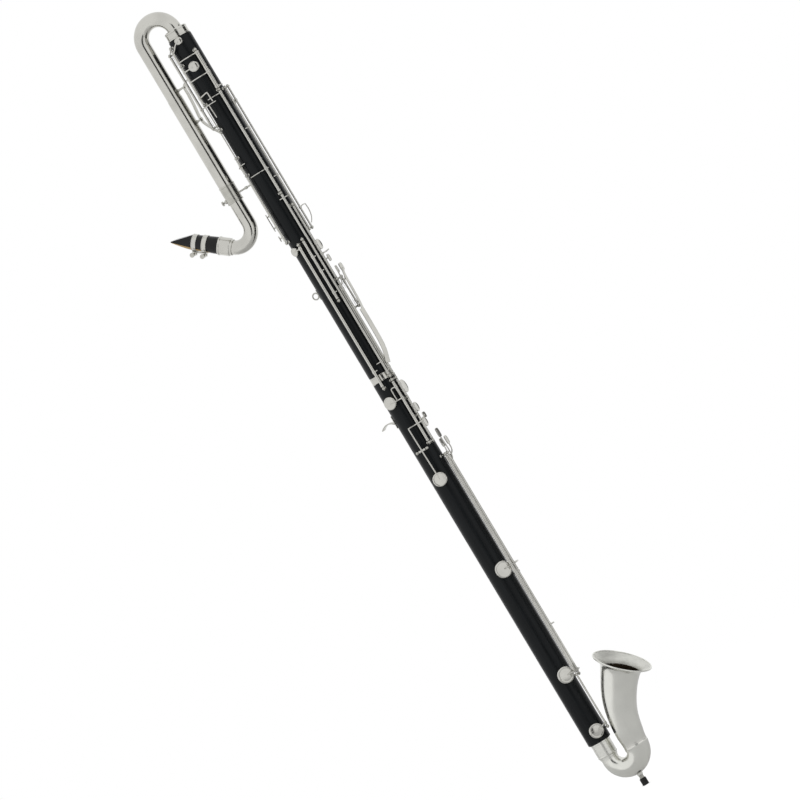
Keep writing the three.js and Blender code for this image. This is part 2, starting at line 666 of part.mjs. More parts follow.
function bellParts() {
  const lipInner = bow.startRadius + seatGap;
  const wide = tenon.radius + tenon.corkWall + seatGap;
  const low = ferruleFoot - ferrule.lip;
  const ferruleProfile = [
    [lipInner, low], [lipInner + bow.wall, low], [ferrule.radius, ferruleFoot],
    [ferrule.radius, stackFoot - seatGap], [wide, stackFoot - seatGap],
    [wide, stackFoot - tenon.length - seatGap * 2],
    [lipInner, stackFoot - tenon.length - seatGap * 2], [lipInner, low],
  ];
  add("bell_ferrule", solid(turned(ferruleProfile, facets.body)), silver);

  const way = bowWay();
  const seamX = 2 * bow.bend;
  const seamZ = bowFloor + bow.bend;
  const ringInner = bow.endRadius + seatGap;
  const ring = sleeve(
    bow.endRadius - bow.wall / 2, ringInner + seamRing.wall, -seamRing.height / 2, -seatGap, facets.bell,
  );
  const lip = sleeve(ringInner, ringInner + seamRing.wall, -seatGap * 2, seamRing.height / 2, facets.bell);
  const seam = solid(ring.translate(seamX, 0, seamZ)).add(solid(lip.translate(seamX, 0, seamZ)));
  const tubeMade = turnedAlong(bowProfile(0, bow.wall), way, facets.bell);
  add("bell_bow", tubeMade.add(seam), silver);

  const start = point(seamX, 0, seamZ + seatGap);
  const end = point(seamX + bellWay.reach, 0, seamZ + bellWay.rise);
  const lean = degrees(bellWay.tilt);
  const flareWay = new THREE.CubicBezierCurve3(
    start, point(seamX, 0, seamZ + bellWay.firstPull),
    point(end.x - bellWay.lastPull * Math.cos(lean), 0, end.z - bellWay.lastPull * Math.sin(lean)), end,
  );
  const throat = bell.throatRadius;
  const tubeShares = [[0, 0], [0.03, 0], [0.16, 0.18], [0.35, 0.36], [0.6, 0.66], [0.8, 0.86], [0.89, 1]];
  const flareShares = [[0.93, 0.12], [0.96, 0.33], [0.983, 0.66], [1, 1]];
  const wallRun = [
    ...tubeShares.map(([share, grow]) => [bow.endRadius + (throat - bow.endRadius) * grow, share]),
    ...flareShares.map(([share, grow]) => [throat + (bell.rimRadius - throat) * grow, share]),
  ];
  const inside = [...wallRun].reverse().map(([radius, share]) => [radius - bell.wall, share]);
  const shell = turnedAlong([...wallRun, ...inside, wallRun[0]], flareWay, facets.bell);
  const rim = new THREE.TorusGeometry(bell.rimRadius, bell.bead, facets.post, facets.bell);
  rim.rotateY(Math.PI / 2 - lean).translate(end.x, 0, end.z);
  add("bell", shell.add(solid(rim)), silver);

  const socketFoot = foot.tipLength + foot.show;
  const hole = pegSocket.shankRadius + seatGap;
  const blank = solid(sleeve(hole, pegSocket.radius, socketFoot, bowFloor, facets.cup));
  const bowOutside = turnedAlong(bowProfile(seatGap), way, facets.bell);
  const socket = blank.translate([pegOffset, 0, 0]).subtract(bowOutside);
  add("peg_socket", socket, silver);

  const rod = turned([
    [0, foot.tipLength + seatGap], [foot.rodRadius, foot.tipLength + seatGap],
    [foot.rodRadius, socketFoot - seatGap], [pegSocket.shankRadius, socketFoot - seatGap],
    [pegSocket.shankRadius, socketFoot + pegSocket.height - seatGap * 2],
    [0, socketFoot + pegSocket.height - seatGap * 2],
  ], facets.cup);
  add("peg_rod", solid(rod), nickel, root);
  const { tipRadius, tipChamfer, tipLength } = foot;
  const tip = turned([
    [0, 0], [tipRadius - tipChamfer, 0], [tipRadius, tipChamfer], [tipRadius, tipLength - tipChamfer],
    [tipRadius - tipChamfer, tipLength], [0, tipLength],
  ], facets.cup);
  add("peg_tip", solid(tip), rubber, root);
}

// Strap ring and thumb hook on the player's side

function playerSideParts() {
  const start = stack.radius + seatGap;
  const ringZ = heightAt(heights.strapRing);
  const ringMade = new THREE.TorusGeometry(ringSize.radius, ringSize.wire, facets.post, facets.cup);
  ringMade.rotateX(Math.PI / 2);
  const plateMade = boxSolid(
    [-start - ringSize.plate, -ringSize.plateWidth / 2, ringZ - ringSize.plateHeight / 2],
    [-start, ringSize.plateWidth / 2, ringZ + ringSize.plateHeight / 2],
  );
  const centre = start + ringSize.plate / 2 + ringSize.radius + ringSize.wire;
  const loop = solid(ringMade.translate(-centre, 0, ringZ));
  add("strap_ring", plateMade.add(loop), nickel);

  const hookZ = heightAt(heights.thumbHook);
  const base = boxSolid(
    [-start - hook.thickness, -hook.width / 2, hookZ - hook.plateHeight / 2],
    [-start, hook.width / 2, hookZ + hook.plateHeight / 2],
  );
  const { reach, rise, thickness, width } = hook;
  const way = new THREE.QuadraticBezierCurve3(
    point(-start - thickness / 2, 0, hookZ - rise / 2),
    point(-start - reach / 2, 0, hookZ + rise * 1.4), point(-start - reach, 0, hookZ - rise / 2),
  );
  add("thumb_hook", base.add(sweep(way, rectangle(width, thickness), stepsOf.hook)), nickel);
}

// Posts and the hinge steels between them

function postSolid(angle, height, radiusOut) {
  const rise = radiusOut - stack.radius - seatGap;
  const { ball, stem, flat, waist, crown, footHeight } = post;
  const profile = [
    [0, 0], [post.foot, 0], [stem, footHeight], [stem, rise - waist], [ball, rise - flat],
    [ball, rise + flat], [stem / 2, rise + crown], [0, rise + crown],
  ];
  return radially(turned(profile, facets.post), angle, stack.radius + seatGap, height);
}

function hingeLine(angle, radiusOut, shares) {
  const zs = shares.map(heightAt);
  const posts = zs.map((z) => postSolid(angle, z, radiusOut));
  const steelRod = bar(
    polar(angle, radiusOut, Math.min(...zs)), polar(angle, radiusOut, Math.max(...zs)), hinge.steel,
    facets.post,
  );
  return [...posts, steelRod];
}

const out = {
  near: stack.radius + hinge.height,
  tall: stack.radius + hinge.tallHeight,
  octave: stack.radius + hinge.outerHeight,
  side: stack.radius + hinge.sideHeight,
  low: stack.radius + hinge.lowHeight,
};

function tie(angleA, outA, angleB, outB, share, shareB = share) {
  return bar(polar(angleA, outA, heightAt(share)), polar(angleB, outB, heightAt(shareB)), arm.slim);
}

function postNodes() {
  const a = angles;
  const s = postShares;
  const left = [
    ...hingeLine(a.left, out.near, s.left), ...hingeLine(a.octave, out.octave, s.octave),
    tie(a.octave, out.octave, a.left, out.near, s.octave[0], s.left[0]),
    tie(a.octave, out.octave, a.left, out.near, s.octave[1], s.left[3]),
  ];
  add("left_posts", join(left), nickel);
  add("main_posts", join(hingeLine(a.main, out.near, s.main)), nickel);
  const side = [
    ...hingeLine(a.sideInner, out.near, s.side), ...hingeLine(a.sideOuter, out.side, s.side),
    ...s.side.map((share) => tie(a.sideInner, out.near, a.sideOuter, out.side, share)),
  ];
  add("side_posts", join(side), nickel);
  const front = [
    ...hingeLine(a.front, out.near, s.front), ...hingeLine(a.sideOuter, out.side, s.levers),
    tie(a.front, out.near, a.sideOuter, out.side, s.levers[0]),
  ];
  add("front_posts", join(front), nickel);
  add("back_posts", join(hingeLine(a.back, out.near, s.back)), nickel);
  add("bridge_posts", join(hingeLine(a.bridge, out.near, s.bridge)), nickel);
  const ends = [s.lowG[0], s.lowG[1]];
  const rightHand = [
    ...hingeLine(a.lowG, out.near, s.lowG), ...hingeLine(a.plates, out.near, s.plates),
    ...ends.map((share) => tie(a.lowG, out.near, a.plates, out.near, share)),
  ];
  add("right_hand_posts", join(rightHand), nickel);
  const low = [
    ...hingeLine(a.lowInner, out.low, s.lowInner), ...hingeLine(a.lowOuter, out.tall, s.lowOuter),
    ...hingeLine(a.lowFar, out.tall, s.lowFar),
    tie(a.lowInner, out.low, a.lowOuter, out.tall, s.lowInner[0]),
    tie(a.lowOuter, out.tall, a.lowFar, out.tall, s.lowInner[0]),
  ];
  add("low_posts", join(low), nickel);
}

// Keys: each stands in a group turned to its hinge line, with its own zero on the hinge.
// A spot is an angle, a distance from the body's axis, a height share and, if wanted, a lift share.

class Key {
  constructor({ line: [angle, distance] }) {
    Object.assign(this, { angle, distance, pieces: [] });
  }
  at([angle, distance, share, lift = 0]) {
    const spot = polar(angle - this.angle, distance + lift * stack.radius, heightAt(share));
    spot.x -= this.distance;
    return spot;
  }
  tube([fromShare, toShare], radius) {
    const [low, high] = [heightAt(fromShare), heightAt(toShare)].sort((p, q) => p - q);
    this.pieces.push(solid(disc(radius, low + tubeEnd, high - tubeEnd, facets.tube)));
    const clear = hinge.steel + seatGap;
    this.way = solid(disc(clear, low + tubeEnd - overrun, high - tubeEnd + overrun, facets.tube));
  }
  thicken([fromShare, toShare], radius) {
    this.pieces.push(solid(disc(radius, heightAt(toShare), heightAt(fromShare), facets.tube)));
  }
  arm(spots, radius) {
    const points = spots.map((spot) => this.at(spot));
    this.pieces.push(points.length === 2 ? bar(points[0], points[1], radius) : bentBar(points, radius));
  }
  // an arc round the body at one height
  arc([angleFrom, angleTo, distance, share, lift = 0], radius) {
    const [away, high] = [distance + lift * stack.radius, heightAt(share)];
    const way = new Wrap([angleFrom - this.angle, away, high], [angleTo - this.angle, away, high]);
    const steps = Math.max(2, Math.round(Math.abs(angleTo - angleFrom) / stepsOf.arcDegrees));
    this.pieces.push(sweep(way, circle(radius, facets.arm), steps).translate([-this.distance, 0, 0]));
  }
  // a padded cup on its chimney
  cup([angle, share], radius) {
    this.pieces.push(cupSolid(radius, angle - this.angle, heightAt(share)).translate([-this.distance, 0, 0]));
    chimney(angle, heightAt(share), radius - cupSize.rim * 2);
  }
  // a flat finger plate over a tone hole, standing open
  plate([angle, share], radius) {
    const base = stack.radius + cupSize.chimneyRise + plate.lift;
    const flat = disc(radius, 0, plate.thickness, facets.cup);
    const made = radially(flat, angle - this.angle, base, heightAt(share));
    this.pieces.push(made.translate([-this.distance, 0, 0]));
    chimney(angle, heightAt(share), radius - cupSize.rim * 2);
  }
  // a touch piece, given by its middle, its width round the body, its length along it and its turn
  touch([spot, widthShare, lengthShare, turn = 0]) {
    const [width, length] = [widthShare * stack.radius, lengthShare * stack.radius];
    const slab = new THREE.BoxGeometry(touch.thickness, width, length);
    slab.rotateZ(-degrees(spot[0] + turn - this.angle));
    const place = this.at(spot);
    this.pieces.push(solid(slab.translate(place.x, place.y, place.z)));
  }
  // a long flat lever plate that faces one way over its whole length
  slab([spots, widthShare, facing]) {
    const way = new THREE.CatmullRomCurve3(spots.map(([angle, distance, share, lift = 0]) =>
      point(angle - this.angle, distance + lift * stack.radius, heightAt(share))));
    const size = [touch.thickness, widthShare * stack.radius, 1];
    const flat = new THREE.BoxGeometry(...size, 1, 1, stepsOf.slab);
    const place = flat.attributes.position;
    for (let i = 0; i < place.count; i++) {
      const row = way.getPoint(place.getZ(i) + 0.5);
      const spot = polar(row.x, row.y, row.z);
      spot.addScaledVector(polar(facing - this.angle, 1, 0), place.getX(i));
      spot.addScaledVector(polar(facing - this.angle + 90, 1, 0), place.getY(i));
      place.setXYZ(i, spot.x - this.distance, spot.y, spot.z);
    }
    this.pieces.push(solid(flat));
  }
  addAs(name) {
    const group = new THREE.Group();
    group.rotation.z = -degrees(this.angle);
    upright.add(group);
    add(name, join(this.pieces).subtract(this.way), silver, group).position.x = this.distance;
  }
}

function cupSolid(radius, angle, height) {
  const { rise, padThickness, rollShare, rim } = cupSize;
  const profile = [
    [0, 0], [radius - rim, 0], [radius, padThickness / 2], [radius, padThickness],
    [radius * rollShare, rise], [0, rise + rim / 2],
  ];
  return radially(turned(profile, facets.cup), angle, cupBase, height);
}

function makeKey(name, row) {
  const made = new Key(row);
  made.tube(row.tube, row.thickness);
  if (row.thick) made.thicken(...row.thick);
  const thick = row.armRadius ?? arm.radius;
  (row.arms ?? []).forEach((spots) => made.arm(spots, thick));
  (row.arcs ?? []).forEach((spots) => made.arc(spots, thick));
  (row.cups ?? []).forEach(([spot, radius]) => made.cup(spot, radius));
  (row.plates ?? []).forEach(([spot, radius]) => made.plate(spot, radius));
  (row.touches ?? []).forEach((spots) => made.touch(spots));
  (row.slabs ?? []).forEach((spots) => made.slab(spots));
  made.addAs(name);
}

const cupBase = stack.radius + cupSize.chimneyRise + cupSize.gap;
const cupTop = cupBase + cupSize.rise;
const plateTop = stack.radius + cupSize.chimneyRise + plate.lift + plate.thickness / 2;
const under = stack.radius + arm.slim + cupSize.chimneyRise;
const over = out.near + tube.slim + arm.radius + cupSize.gap;
const overLow = out.low + tube.low + arm.radius + cupSize.gap;
const { near, octave, side, low: lowOut, tall } = out;

const upperKeyShares = {
  upper_vent_key: {
    line: [angles.left, near], tube: [0.9921, 0.9671], thickness: tube.slim,
    arms: [[[128, near, 0.9854], [112, near, 0.9884], [97, cupTop, 0.9933], [83, cupTop, 0.9952]]],
    cups: [[[81, 0.9956], cupRadius.vent]],
  },
  lower_vent_key: {
    line: [angles.left, near], tube: [0.9671, 0.9122], thickness: tube.slim,
    arms: [
      [[128, near, 0.959], [104, cupTop, 0.959], [83, cupTop, 0.959]],
      [[128, near, 0.922], [105, over, 0.9226], [84, over, 0.9238]],
      [[84, over, 0.9241], [82, over, 0.911]],
    ],
    cups: [[[80, 0.9593], cupRadius.octave]],
  },
  thumb_octave_lever: {
    line: [angles.octave, octave], tube: [0.9854, 0.8829], thickness: tube.slim, armRadius: arm.slim,
    arcs: [[150, 73, octave, 0.9093, 0.06]],
    arms: [[[99, octave, 0.9093, 0.06], [99, octave, 0.8915, -0.04]]],
    touches: [[[161, octave, 0.8927], 0.5, 0.8]],
  },
  octave_rocker: {
    line: [angles.main, near], tube: [0.9761, 0.92], thickness: tube.thick,
    arcs: [
      [43, 117, over, 0.9721, 0.03], [43, 117, over, 0.9444, 0.03], [43, 21, near, 0.9237, 0.08],
    ],
    arms: [[[43, near, 0.9721], [43, over, 0.9721, 0.03]], [[43, near, 0.9444], [43, over, 0.9444, 0.03]]],
  },
  throat_key: {
    line: [angles.main, near], tube: [0.92, 0.7732], thickness: tube.main, armRadius: arm.slim,
    arcs: [[43, 98, near, 0.9154, -0.05], [24, 122, under, 0.8076, 0]],
    arms: [[[43, near, 0.8076, -0.05], [43, under, 0.8076]]],
  },
  register_link: {
    line: [angles.sideInner, near], tube: [0.9183, 0.7183], thickness: tube.thin, armRadius: arm.slim,
    arcs: [[12, 33, near, 0.8622], [12, 33, near, 0.7945]],
  },
  side_trill_key: {
    line: [angles.sideOuter, side], tube: [0.9183, 0.7183], thickness: tube.thin, armRadius: arm.slim,
    arms: [
      [[-7, side, 0.7463], [-8, side, 0.7476, 0.3], [-8, side, 0.7471, 0.5]],
      [
        [-8, side, 0.7473, 0.5], [-8, side, 0.7378, 0.52], [-8, side, 0.7293, 0.4],
        [-8, side, 0.7232, 0.16],
      ],
      [[-7, side, 0.8988], [-20, side, 0.8988, -0.03], [-31, cupTop, 0.8988]],
    ],
    cups: [[[-34, 0.8988], cupRadius.side]],
  },
  left_side_vent_key: {
    line: [angles.left, near], tube: [0.8366, 0.8122], thickness: tube.slim, armRadius: arm.slim,
    arcs: [[128, 101, near, 0.8262]],
    arms: [[[128, near, 0.8244], [146, near, 0.8244, 0.03], [158, cupTop, 0.8244]]],
    cups: [[[161, 0.8244], cupRadius.side]],
  },
  thumb_key: {
    line: [angles.left, near], tube: [0.8122, 0.7171], thickness: tube.slim,
    arms: [
      [[128, near, 0.7561], [152, near, 0.7561, 0.08]], [[128, near, 0.7402], [152, near, 0.7402, 0.08]],
      [[128, near, 0.7256], [152, near, 0.7256, 0.08]],
    ],
    touches: [[[156, near, 0.7482, 0.1], 0.42, 1.55], [[154, near, 0.7256, 0.1], 0.34, 0.5]],
  },
};

const middleKeyShares = {
  back_cup_key: {
    line: [angles.back, near], tube: [0.7073, 0.5043], thickness: tube.main, armRadius: arm.slim,
    arms: [[[86, near, 0.7024], [106, near, 0.7024], [119, cupTop, 0.7024]]],
    arcs: [[86, 72, near, 0.5273]],
    cups: [[[122, 0.7024], cupRadius.back]],
  },
  bridge_key: {
    line: [angles.bridge, near], tube: [0.711, 0.6244], thickness: tube.main, armRadius: arm.slim,
    arcs: [[63, 51, near, 0.6854], [63, 51, near, 0.6659], [63, 51, near, 0.6354]],
  },
  main_stack_key: {
    line: [angles.main, near], tube: [0.7732, 0.5141], thickness: tube.slim, armRadius: arm.slim,
    arcs: [[20, 60, near, 0.7661], [43, 64, near, 0.5341]],
  },
  left_plate_key: {
    line: [angles.front, near], tube: [0.7537, 0.6482], thickness: tube.slim,
    arms: [
      [[25, near, 0.6994], [9, plateTop, 0.6982]], [[25, near, 0.6921], [9, plateTop, 0.6933]],
      [[25, near, 0.6835], [12, near, 0.6841, 0.02], [5, near, 0.6841, 0.2], [3, near, 0.6848, 0.44]],
      [[25, near, 0.6756], [14, near, 0.6761, 0.06], [8, near, 0.6763, 0.1]],
    ],
    plates: [[[2, 0.6959], plate.leftRadius]],
    touches: [[[6, near, 0.6756, 0.12], 0.42, 0.62]],
  },
  left_lever_inner: {
    line: [angles.front, near], tube: [0.6482, 0.5141], thickness: tube.slim,
    arms: [
      [[25, near, 0.639], [16, near, 0.6402, 0.04], [12, near, 0.6451, 0.14], [8, near, 0.6573, 0.23]],
      [[33.5, near, 0.6402], [33.5, near, 0.52]],
      [[25, near, 0.6341], [33.5, near, 0.6341]], [[25, near, 0.5244], [33.5, near, 0.5244]],
    ],
    touches: [[[8, near, 0.6585, 0.24], 0.3, 0.66]],
  },
  left_lever_outer: {
    line: [angles.sideOuter, side], tube: [0.6482, 0.6073], thickness: tube.thin, armRadius: arm.slim,
    arms: [
      [[-7, side, 0.6402], [-8, side, 0.6451, 0.2], [-9, side, 0.6573, 0.4]],
      [[-7, side, 0.6146], [-8, side, 0.6085, 0.18], [-5, side, 0.6012, 0.2], [0, side, 0.5976, 0.18]],
    ],
    touches: [[[-9, side, 0.6585, 0.4], 0.34, 0.7, 45]],
    slabs: [
      [
        [[-9, side, 0.6554, 0.38], [-7, side, 0.6482, 0.31], [-5, side, 0.6268, 0.28],
          [-3, side, 0.611, 0.25], [1, side, 0.5976, 0.19]],
        0.2, 40,
      ],
      [
        [[3, side, 0.6024, 0.17], [3, side, 0.58, 0.17], [5, side, 0.5561, 0.16],
          [12, side, 0.5439, 0.15], [20, side, 0.5366, 0.15], [27, side, 0.529, 0.15]],
        0.4, 40,
      ],
    ],
  },
};

const lowerKeyShares = {
  right_plate_1: {
    line: [angles.plates, near], tube: [0.5085, 0.4811], thickness: tube.slim,
    arms: [[[25, near, 0.4994], [9, plateTop, 0.4982]], [[25, near, 0.4896], [9, plateTop, 0.4915]]],
    plates: [[[2, 0.4945], plate.radius]],
  },
  right_plate_2: {
    line: [angles.plates, near], tube: [0.4811, 0.4561], thickness: tube.slim,
    arms: [[[25, near, 0.4689], [9, plateTop, 0.4677]], [[25, near, 0.4622], [9, plateTop, 0.4628]]],
    plates: [[[2, 0.4651], plate.smallRadius]],
  },
  right_plate_3: {
    line: [angles.plates, near], tube: [0.4561, 0.4201], thickness: tube.slim,
    arms: [[[25, near, 0.4482], [9, plateTop, 0.447]], [[25, near, 0.4402], [9, plateTop, 0.4415]]],
    plates: [[[2, 0.4443], plate.smallRadius]],
  },
  low_g_key: {
    line: [angles.lowG, near], tube: [0.5085, 0.4201], thickness: tube.main, armRadius: arm.slim,
    arms: [
      [[45, near, 0.4988], [64, near, 0.4988], [66, near, 0.4939], [66, near, 0.4841]],
      [[45, near, 0.4832], [68, near, 0.4832, 0.03], [97, cupTop, 0.4841]],
    ],
    cups: [[[99, 0.4846], cupRadius.lowG]],
  },
  low_key_upper: {
    line: [angles.lowFar, tall], tube: [0.3976, 0.2293], thickness: tube.slim,
    arms: [
      [[-24, tall, 0.2407], [-21, overLow, 0.2407, 0.05]],
      [[34, overLow, 0.2407, 0.05], [43, cupTop, 0.2407]],
      [[-24, tall, 0.3915], [-21, overLow, 0.3976, 0.05], [-18, overLow, 0.4122, 0.1]],
    ],
    arcs: [[-21, 34, overLow, 0.2407, 0.05]],
    cups: [[[47, 0.2407], cupRadius.low]],
    touches: [[[-18, overLow, 0.4116, 0.12], 0.5, 0.74, 24]],
  },
  low_key_middle: {
    line: [angles.lowOuter, tall], tube: [0.3976, 0.0848], thickness: tube.slimLow,
    arms: [
      [[-6, tall, 0.1537], [-12, tall, 0.1537, 0.36]],
      [[-6, tall, 0.0905], [4, overLow, 0.0905], [14, overLow, 0.0905, 0.02]],
      [[32, overLow, 0.0905, 0.02], [45, cupTop, 0.0907]],
      [
        [-6, tall, 0.3854], [-6, tall, 0.3915, 0.22], [-5, tall, 0.4012, 0.26], [-4, tall, 0.4183, 0.22],
      ],
    ],
    arcs: [[14, 32, overLow, 0.0905, 0.02]],
    cups: [[[50, 0.0915], cupRadius.lowMid]],
    touches: [[[-4, tall, 0.4244, 0.24], 0.42, 0.8, 20]],
  },
  low_key_lower: {
    line: [angles.lowInner, lowOut], tube: [0.3976, 0.0122], thickness: tube.thin,
    thick: [[0.3945, 0.089], tube.low],
    arms: [
      [[21, lowOut, 0.0171], [38, lowOut, 0.0159, -0.05], [53, cupTop, 0.014]],
      [
        [21, lowOut, 0.3854], [20, lowOut, 0.3915, 0.22], [17, lowOut, 0.4012, 0.24],
        [12, lowOut, 0.4104, 0.15],
      ],
    ],
    cups: [[[59, 0.014], cupRadius.lowEnd]],
    touches: [[[12, lowOut, 0.4116, 0.16], 0.36, 0.74, 12]],
  },
};

// The key that rocks on a cross pivot: its cup is below the pivot and its touch above

const fork = { pivotOut: 9.5, halfSpan: 12, tubeHalf: 7.6, armOut: 13.4 };
const forkShares = { pivot: 0.4154, top: 0.4468, cup: 0.3744, touch: 0.4518, padWidth: 0.4, padLength: 0.5 };
const forkAngles = { bend: 32, touch: 15 };

function forkKey() {
  const { radius } = stack;
  const pivot = heightAt(forkShares.pivot);
  const axisOut = radius + fork.pivotOut;
  const group = new THREE.Group();
  group.rotation.z = -degrees(angles.fork);
  upright.add(group);
  const feet = [-1, 1].map((side) => {
    const tilt = THREE.MathUtils.radToDeg(Math.atan2(side * fork.halfSpan, axisOut));
    const base = polar(tilt, radius + seatGap, pivot);
    const head = point(axisOut, -side * fork.halfSpan, pivot);
    const along = point(0, 0, post.ball);
    const ball = bar(head.clone().sub(along), head.clone().add(along), post.ball, facets.post);
    return bar(base, head, post.stem, facets.post).add(ball);
  });
  const pin = bar(
    point(axisOut, -fork.halfSpan, pivot), point(axisOut, fork.halfSpan, pivot), hinge.steel, facets.post,
  );
  add("fork_posts", join([...feet, pin]), nickel, group);

  const at = (angle, distance, share) => {
    const spot = polar(angle - angles.fork, distance, heightAt(share));
    return spot.sub(point(axisOut, 0, pivot));
  };
  const barrel = disc(tube.slim, -fork.tubeHalf, fork.tubeHalf, facets.tube).rotateX(Math.PI / 2);
  const clear = disc(hinge.steel + seatGap, -fork.halfSpan, fork.halfSpan, facets.tube).rotateX(Math.PI / 2);
  const armOut = radius + fork.armOut;
  const far = armOut + arm.radius * 2;
  const { fork: home } = angles;
  const long = bentBar([
    at(home, far, forkShares.top), at(home, armOut - arm.radius, forkShares.pivot),
    at(home, cupTop, forkShares.cup + cupRadius.cross / stack.length), at(home, cupTop, forkShares.cup),
  ], arm.radius);
  const high = heightAt(forkShares.top);
  const crossWay = new Wrap([0, far, high], [forkAngles.bend - home, far, high]);
  const cross = sweep(crossWay, circle(arm.radius, facets.arm), stepsOf.bend * 2);
  const padSpot = at(forkAngles.touch, far + arm.radius, forkShares.touch);
  const rise = bar(at(forkAngles.bend, far, forkShares.top), padSpot, arm.radius);
  const pad = new THREE.BoxGeometry(
    touch.thickness, forkShares.padWidth * radius, forkShares.padLength * radius,
  );
  pad.rotateZ(-degrees(forkAngles.touch - home)).translate(padSpot.x, padSpot.y, padSpot.z);
  const cupHeight = heightAt(forkShares.cup);
  const away = [-axisOut, 0, -pivot];
  chimney(home, cupHeight, cupRadius.cross - cupSize.rim * 2);
  const made = join([
    solid(barrel), long, cross.translate(away), rise, solid(pad),
    cupSolid(cupRadius.cross, 0, cupHeight).translate(away),
  ]);
  add("fork_key", made.subtract(solid(clear)), silver, group).position.set(axisOut, 0, pivot);
}

for (const table of [upperKeyShares, middleKeyShares, lowerKeyShares]) {
  Object.entries(table).forEach(([name, row]) => makeKey(name, row));
}
forkKey();
postNodes();
bodyJoints();
neckParts();
braceParts();
mouthParts();
bellParts();
playerSideParts();

export default root;
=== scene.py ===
"""Looks of the contrabass clarinet: black two-joint body, silver-plated keywork, metal neck, bow and bell.

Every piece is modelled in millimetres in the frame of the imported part: +Z up along the body, +X the front,
and the origin in the middle of the floor peg's foot. It is turned to metres when it is finished.
"""

import math
from types import SimpleNamespace as Sizes

import bmesh
import bpy
from mathutils import Matrix, Vector
from mathutils.geometry import interpolate_bezier


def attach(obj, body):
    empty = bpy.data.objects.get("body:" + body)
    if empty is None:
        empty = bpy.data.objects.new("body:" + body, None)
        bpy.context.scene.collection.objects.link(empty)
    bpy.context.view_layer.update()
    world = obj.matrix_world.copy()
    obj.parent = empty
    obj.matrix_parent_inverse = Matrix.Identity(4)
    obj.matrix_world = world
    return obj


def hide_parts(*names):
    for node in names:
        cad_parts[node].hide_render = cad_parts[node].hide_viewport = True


bl_info = {
    "name": "Contrabass Clarinet",
    "version": (1, 0, 0),
    "blender": (4, 5, 0),
    "location": "3D View > Sidebar > Clarinet",
    "description": "Models a contrabass clarinet round its packed frame, with its finishes and a studio stage",
    "category": "Object",
}

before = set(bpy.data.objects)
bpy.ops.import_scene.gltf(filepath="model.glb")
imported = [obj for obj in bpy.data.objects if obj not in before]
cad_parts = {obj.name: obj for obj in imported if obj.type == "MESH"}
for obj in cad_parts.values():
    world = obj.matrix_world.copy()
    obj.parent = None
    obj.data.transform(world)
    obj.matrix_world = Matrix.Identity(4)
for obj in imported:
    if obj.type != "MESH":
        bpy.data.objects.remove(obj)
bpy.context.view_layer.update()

MM = 0.001

# Driving dimensions, millimetres, as in the part's source

SEAT_GAP = 0.3
STACK = Sizes(length=1763, radius=27, bore=15, joint_gap=15.4, chamfer=1.6)
TENON = Sizes(radius=20.4, length=25, cork_wall=1.2, cork_length=18)
COLLAR = Sizes(height=20.4, radius=26.5, chamfer=2.4)
NECK = Sizes(
    drop=82.7, wall=1.6, bow_radius=16.5, sleeve_radius=17.3, crook_radius=15.8, socket_depth=16,
    bow_leg=128, sleeve=220, clamp=38, clamp_lap=4, clamp_wall=1.3, crook_in=40,
)
CROOK = Sizes(leg=51, radius=37, turn=126.8)
RECEIVER = Sizes(length=28.5, radius=19.8, bead_radius=20.8, bead=4, lip=4, lip_wall=1.7, depth=28)
MOUTH = Sizes(
    length=106, radius=18.9, end_radius=17, tenon_radius=14.2, cork_wall=1.4, bore=9, table_offset=15.4,
    beak_start=60, tip_offset=2.2, tip_wall=1.6, window=15, window_start=56, window_end=16,
)
REED = Sizes(start=16, set_in=0.3, vamp=46, tip=0.6, tip_short=1)
BAND = Sizes(first=30.5, second=54, width=10.4, wall=1.3, bridge_width=14, bridge=1.8)
LUG = Sizes(reach=7.5, width=4, offset=5.5, height=6.4)
LIGATURE_SCREW = Sizes(radius=1.6, reach=12.5, head_radius=5.4, head=2.6)
FERRULE = Sizes(height=34.4, radius=23.2, lip=4.5)
BOW = Sizes(depth=10, bend=34, start_radius=19.3, end_radius=27.5, wall=1.4, peg_share=0.8)
SEAM_RING = Sizes(height=6, wall=1.4)
BELL = Sizes(
    throat=43.5, rim=63.7, bead=1.75, wall=1.3, rise=171, reach=69.5, first_pull=70, last_pull=75, tilt=46,
)
FOOT = Sizes(tip=16.3, tip_radius=7.75, chamfer=1.2, rod_radius=5.7, show=7.3)
PEG_SOCKET = Sizes(height=4.4, radius=6.8, shank_radius=4)
STRAP_RING = Sizes(radius=7, wire=1.6, plate=1.6, width=12, height=24)
HOOK = Sizes(reach=34, rise=8, thickness=2.2, width=20, height=30)
BRACE = Sizes(width=14, thickness=2.4, stud=2.6)
BUMPER = Sizes(radius=2, knob=3.4, rise=14.8)
CLAMP_SCREW = Sizes(radius=2, reach=7, head=2.6, head_radius=5.5, boss=4.5, boss_reach=3.4, rise=11)
HINGE = Sizes(height=7.5, tall=10.6, octave=12.5, side=9.5, low=14.5, steel=1.3)
TUBES = Sizes(thick=4.3, main=3.2, slim=2.8, thin=2.1, low=3.5, slim_low=3.4, end=4.4)
POST = Sizes(foot=3.4, stem=2, ball=3.6)
ARM = 1.4
ARM_SLIM = 1.2
CUP = Sizes(rise=4.2, rim=1.2, gap=0.5, chimney=1.2, hole_share=0.6)
CUPS = Sizes(
    vent=9, side=6.5, octave=12, back=10.7, low_g=15, cross=16.2, low=19.3, low_mid=18.9, low_end=16.5,
)
PLATES = Sizes(large=15.6, left=12.6, small=11.4, thickness=2.6, lift=3.4)
TOUCH = 2

# Heights along the body as shares of its black length

SEAM = 0.522
STRAP_RING_HEIGHT = 0.6434
THUMB_HOOK_HEIGHT = 0.4622
BRACE_HEIGHTS = Sizes(top=0.9512, foot=0.872, upper_stud=0.9457, lower_stud=0.9012)

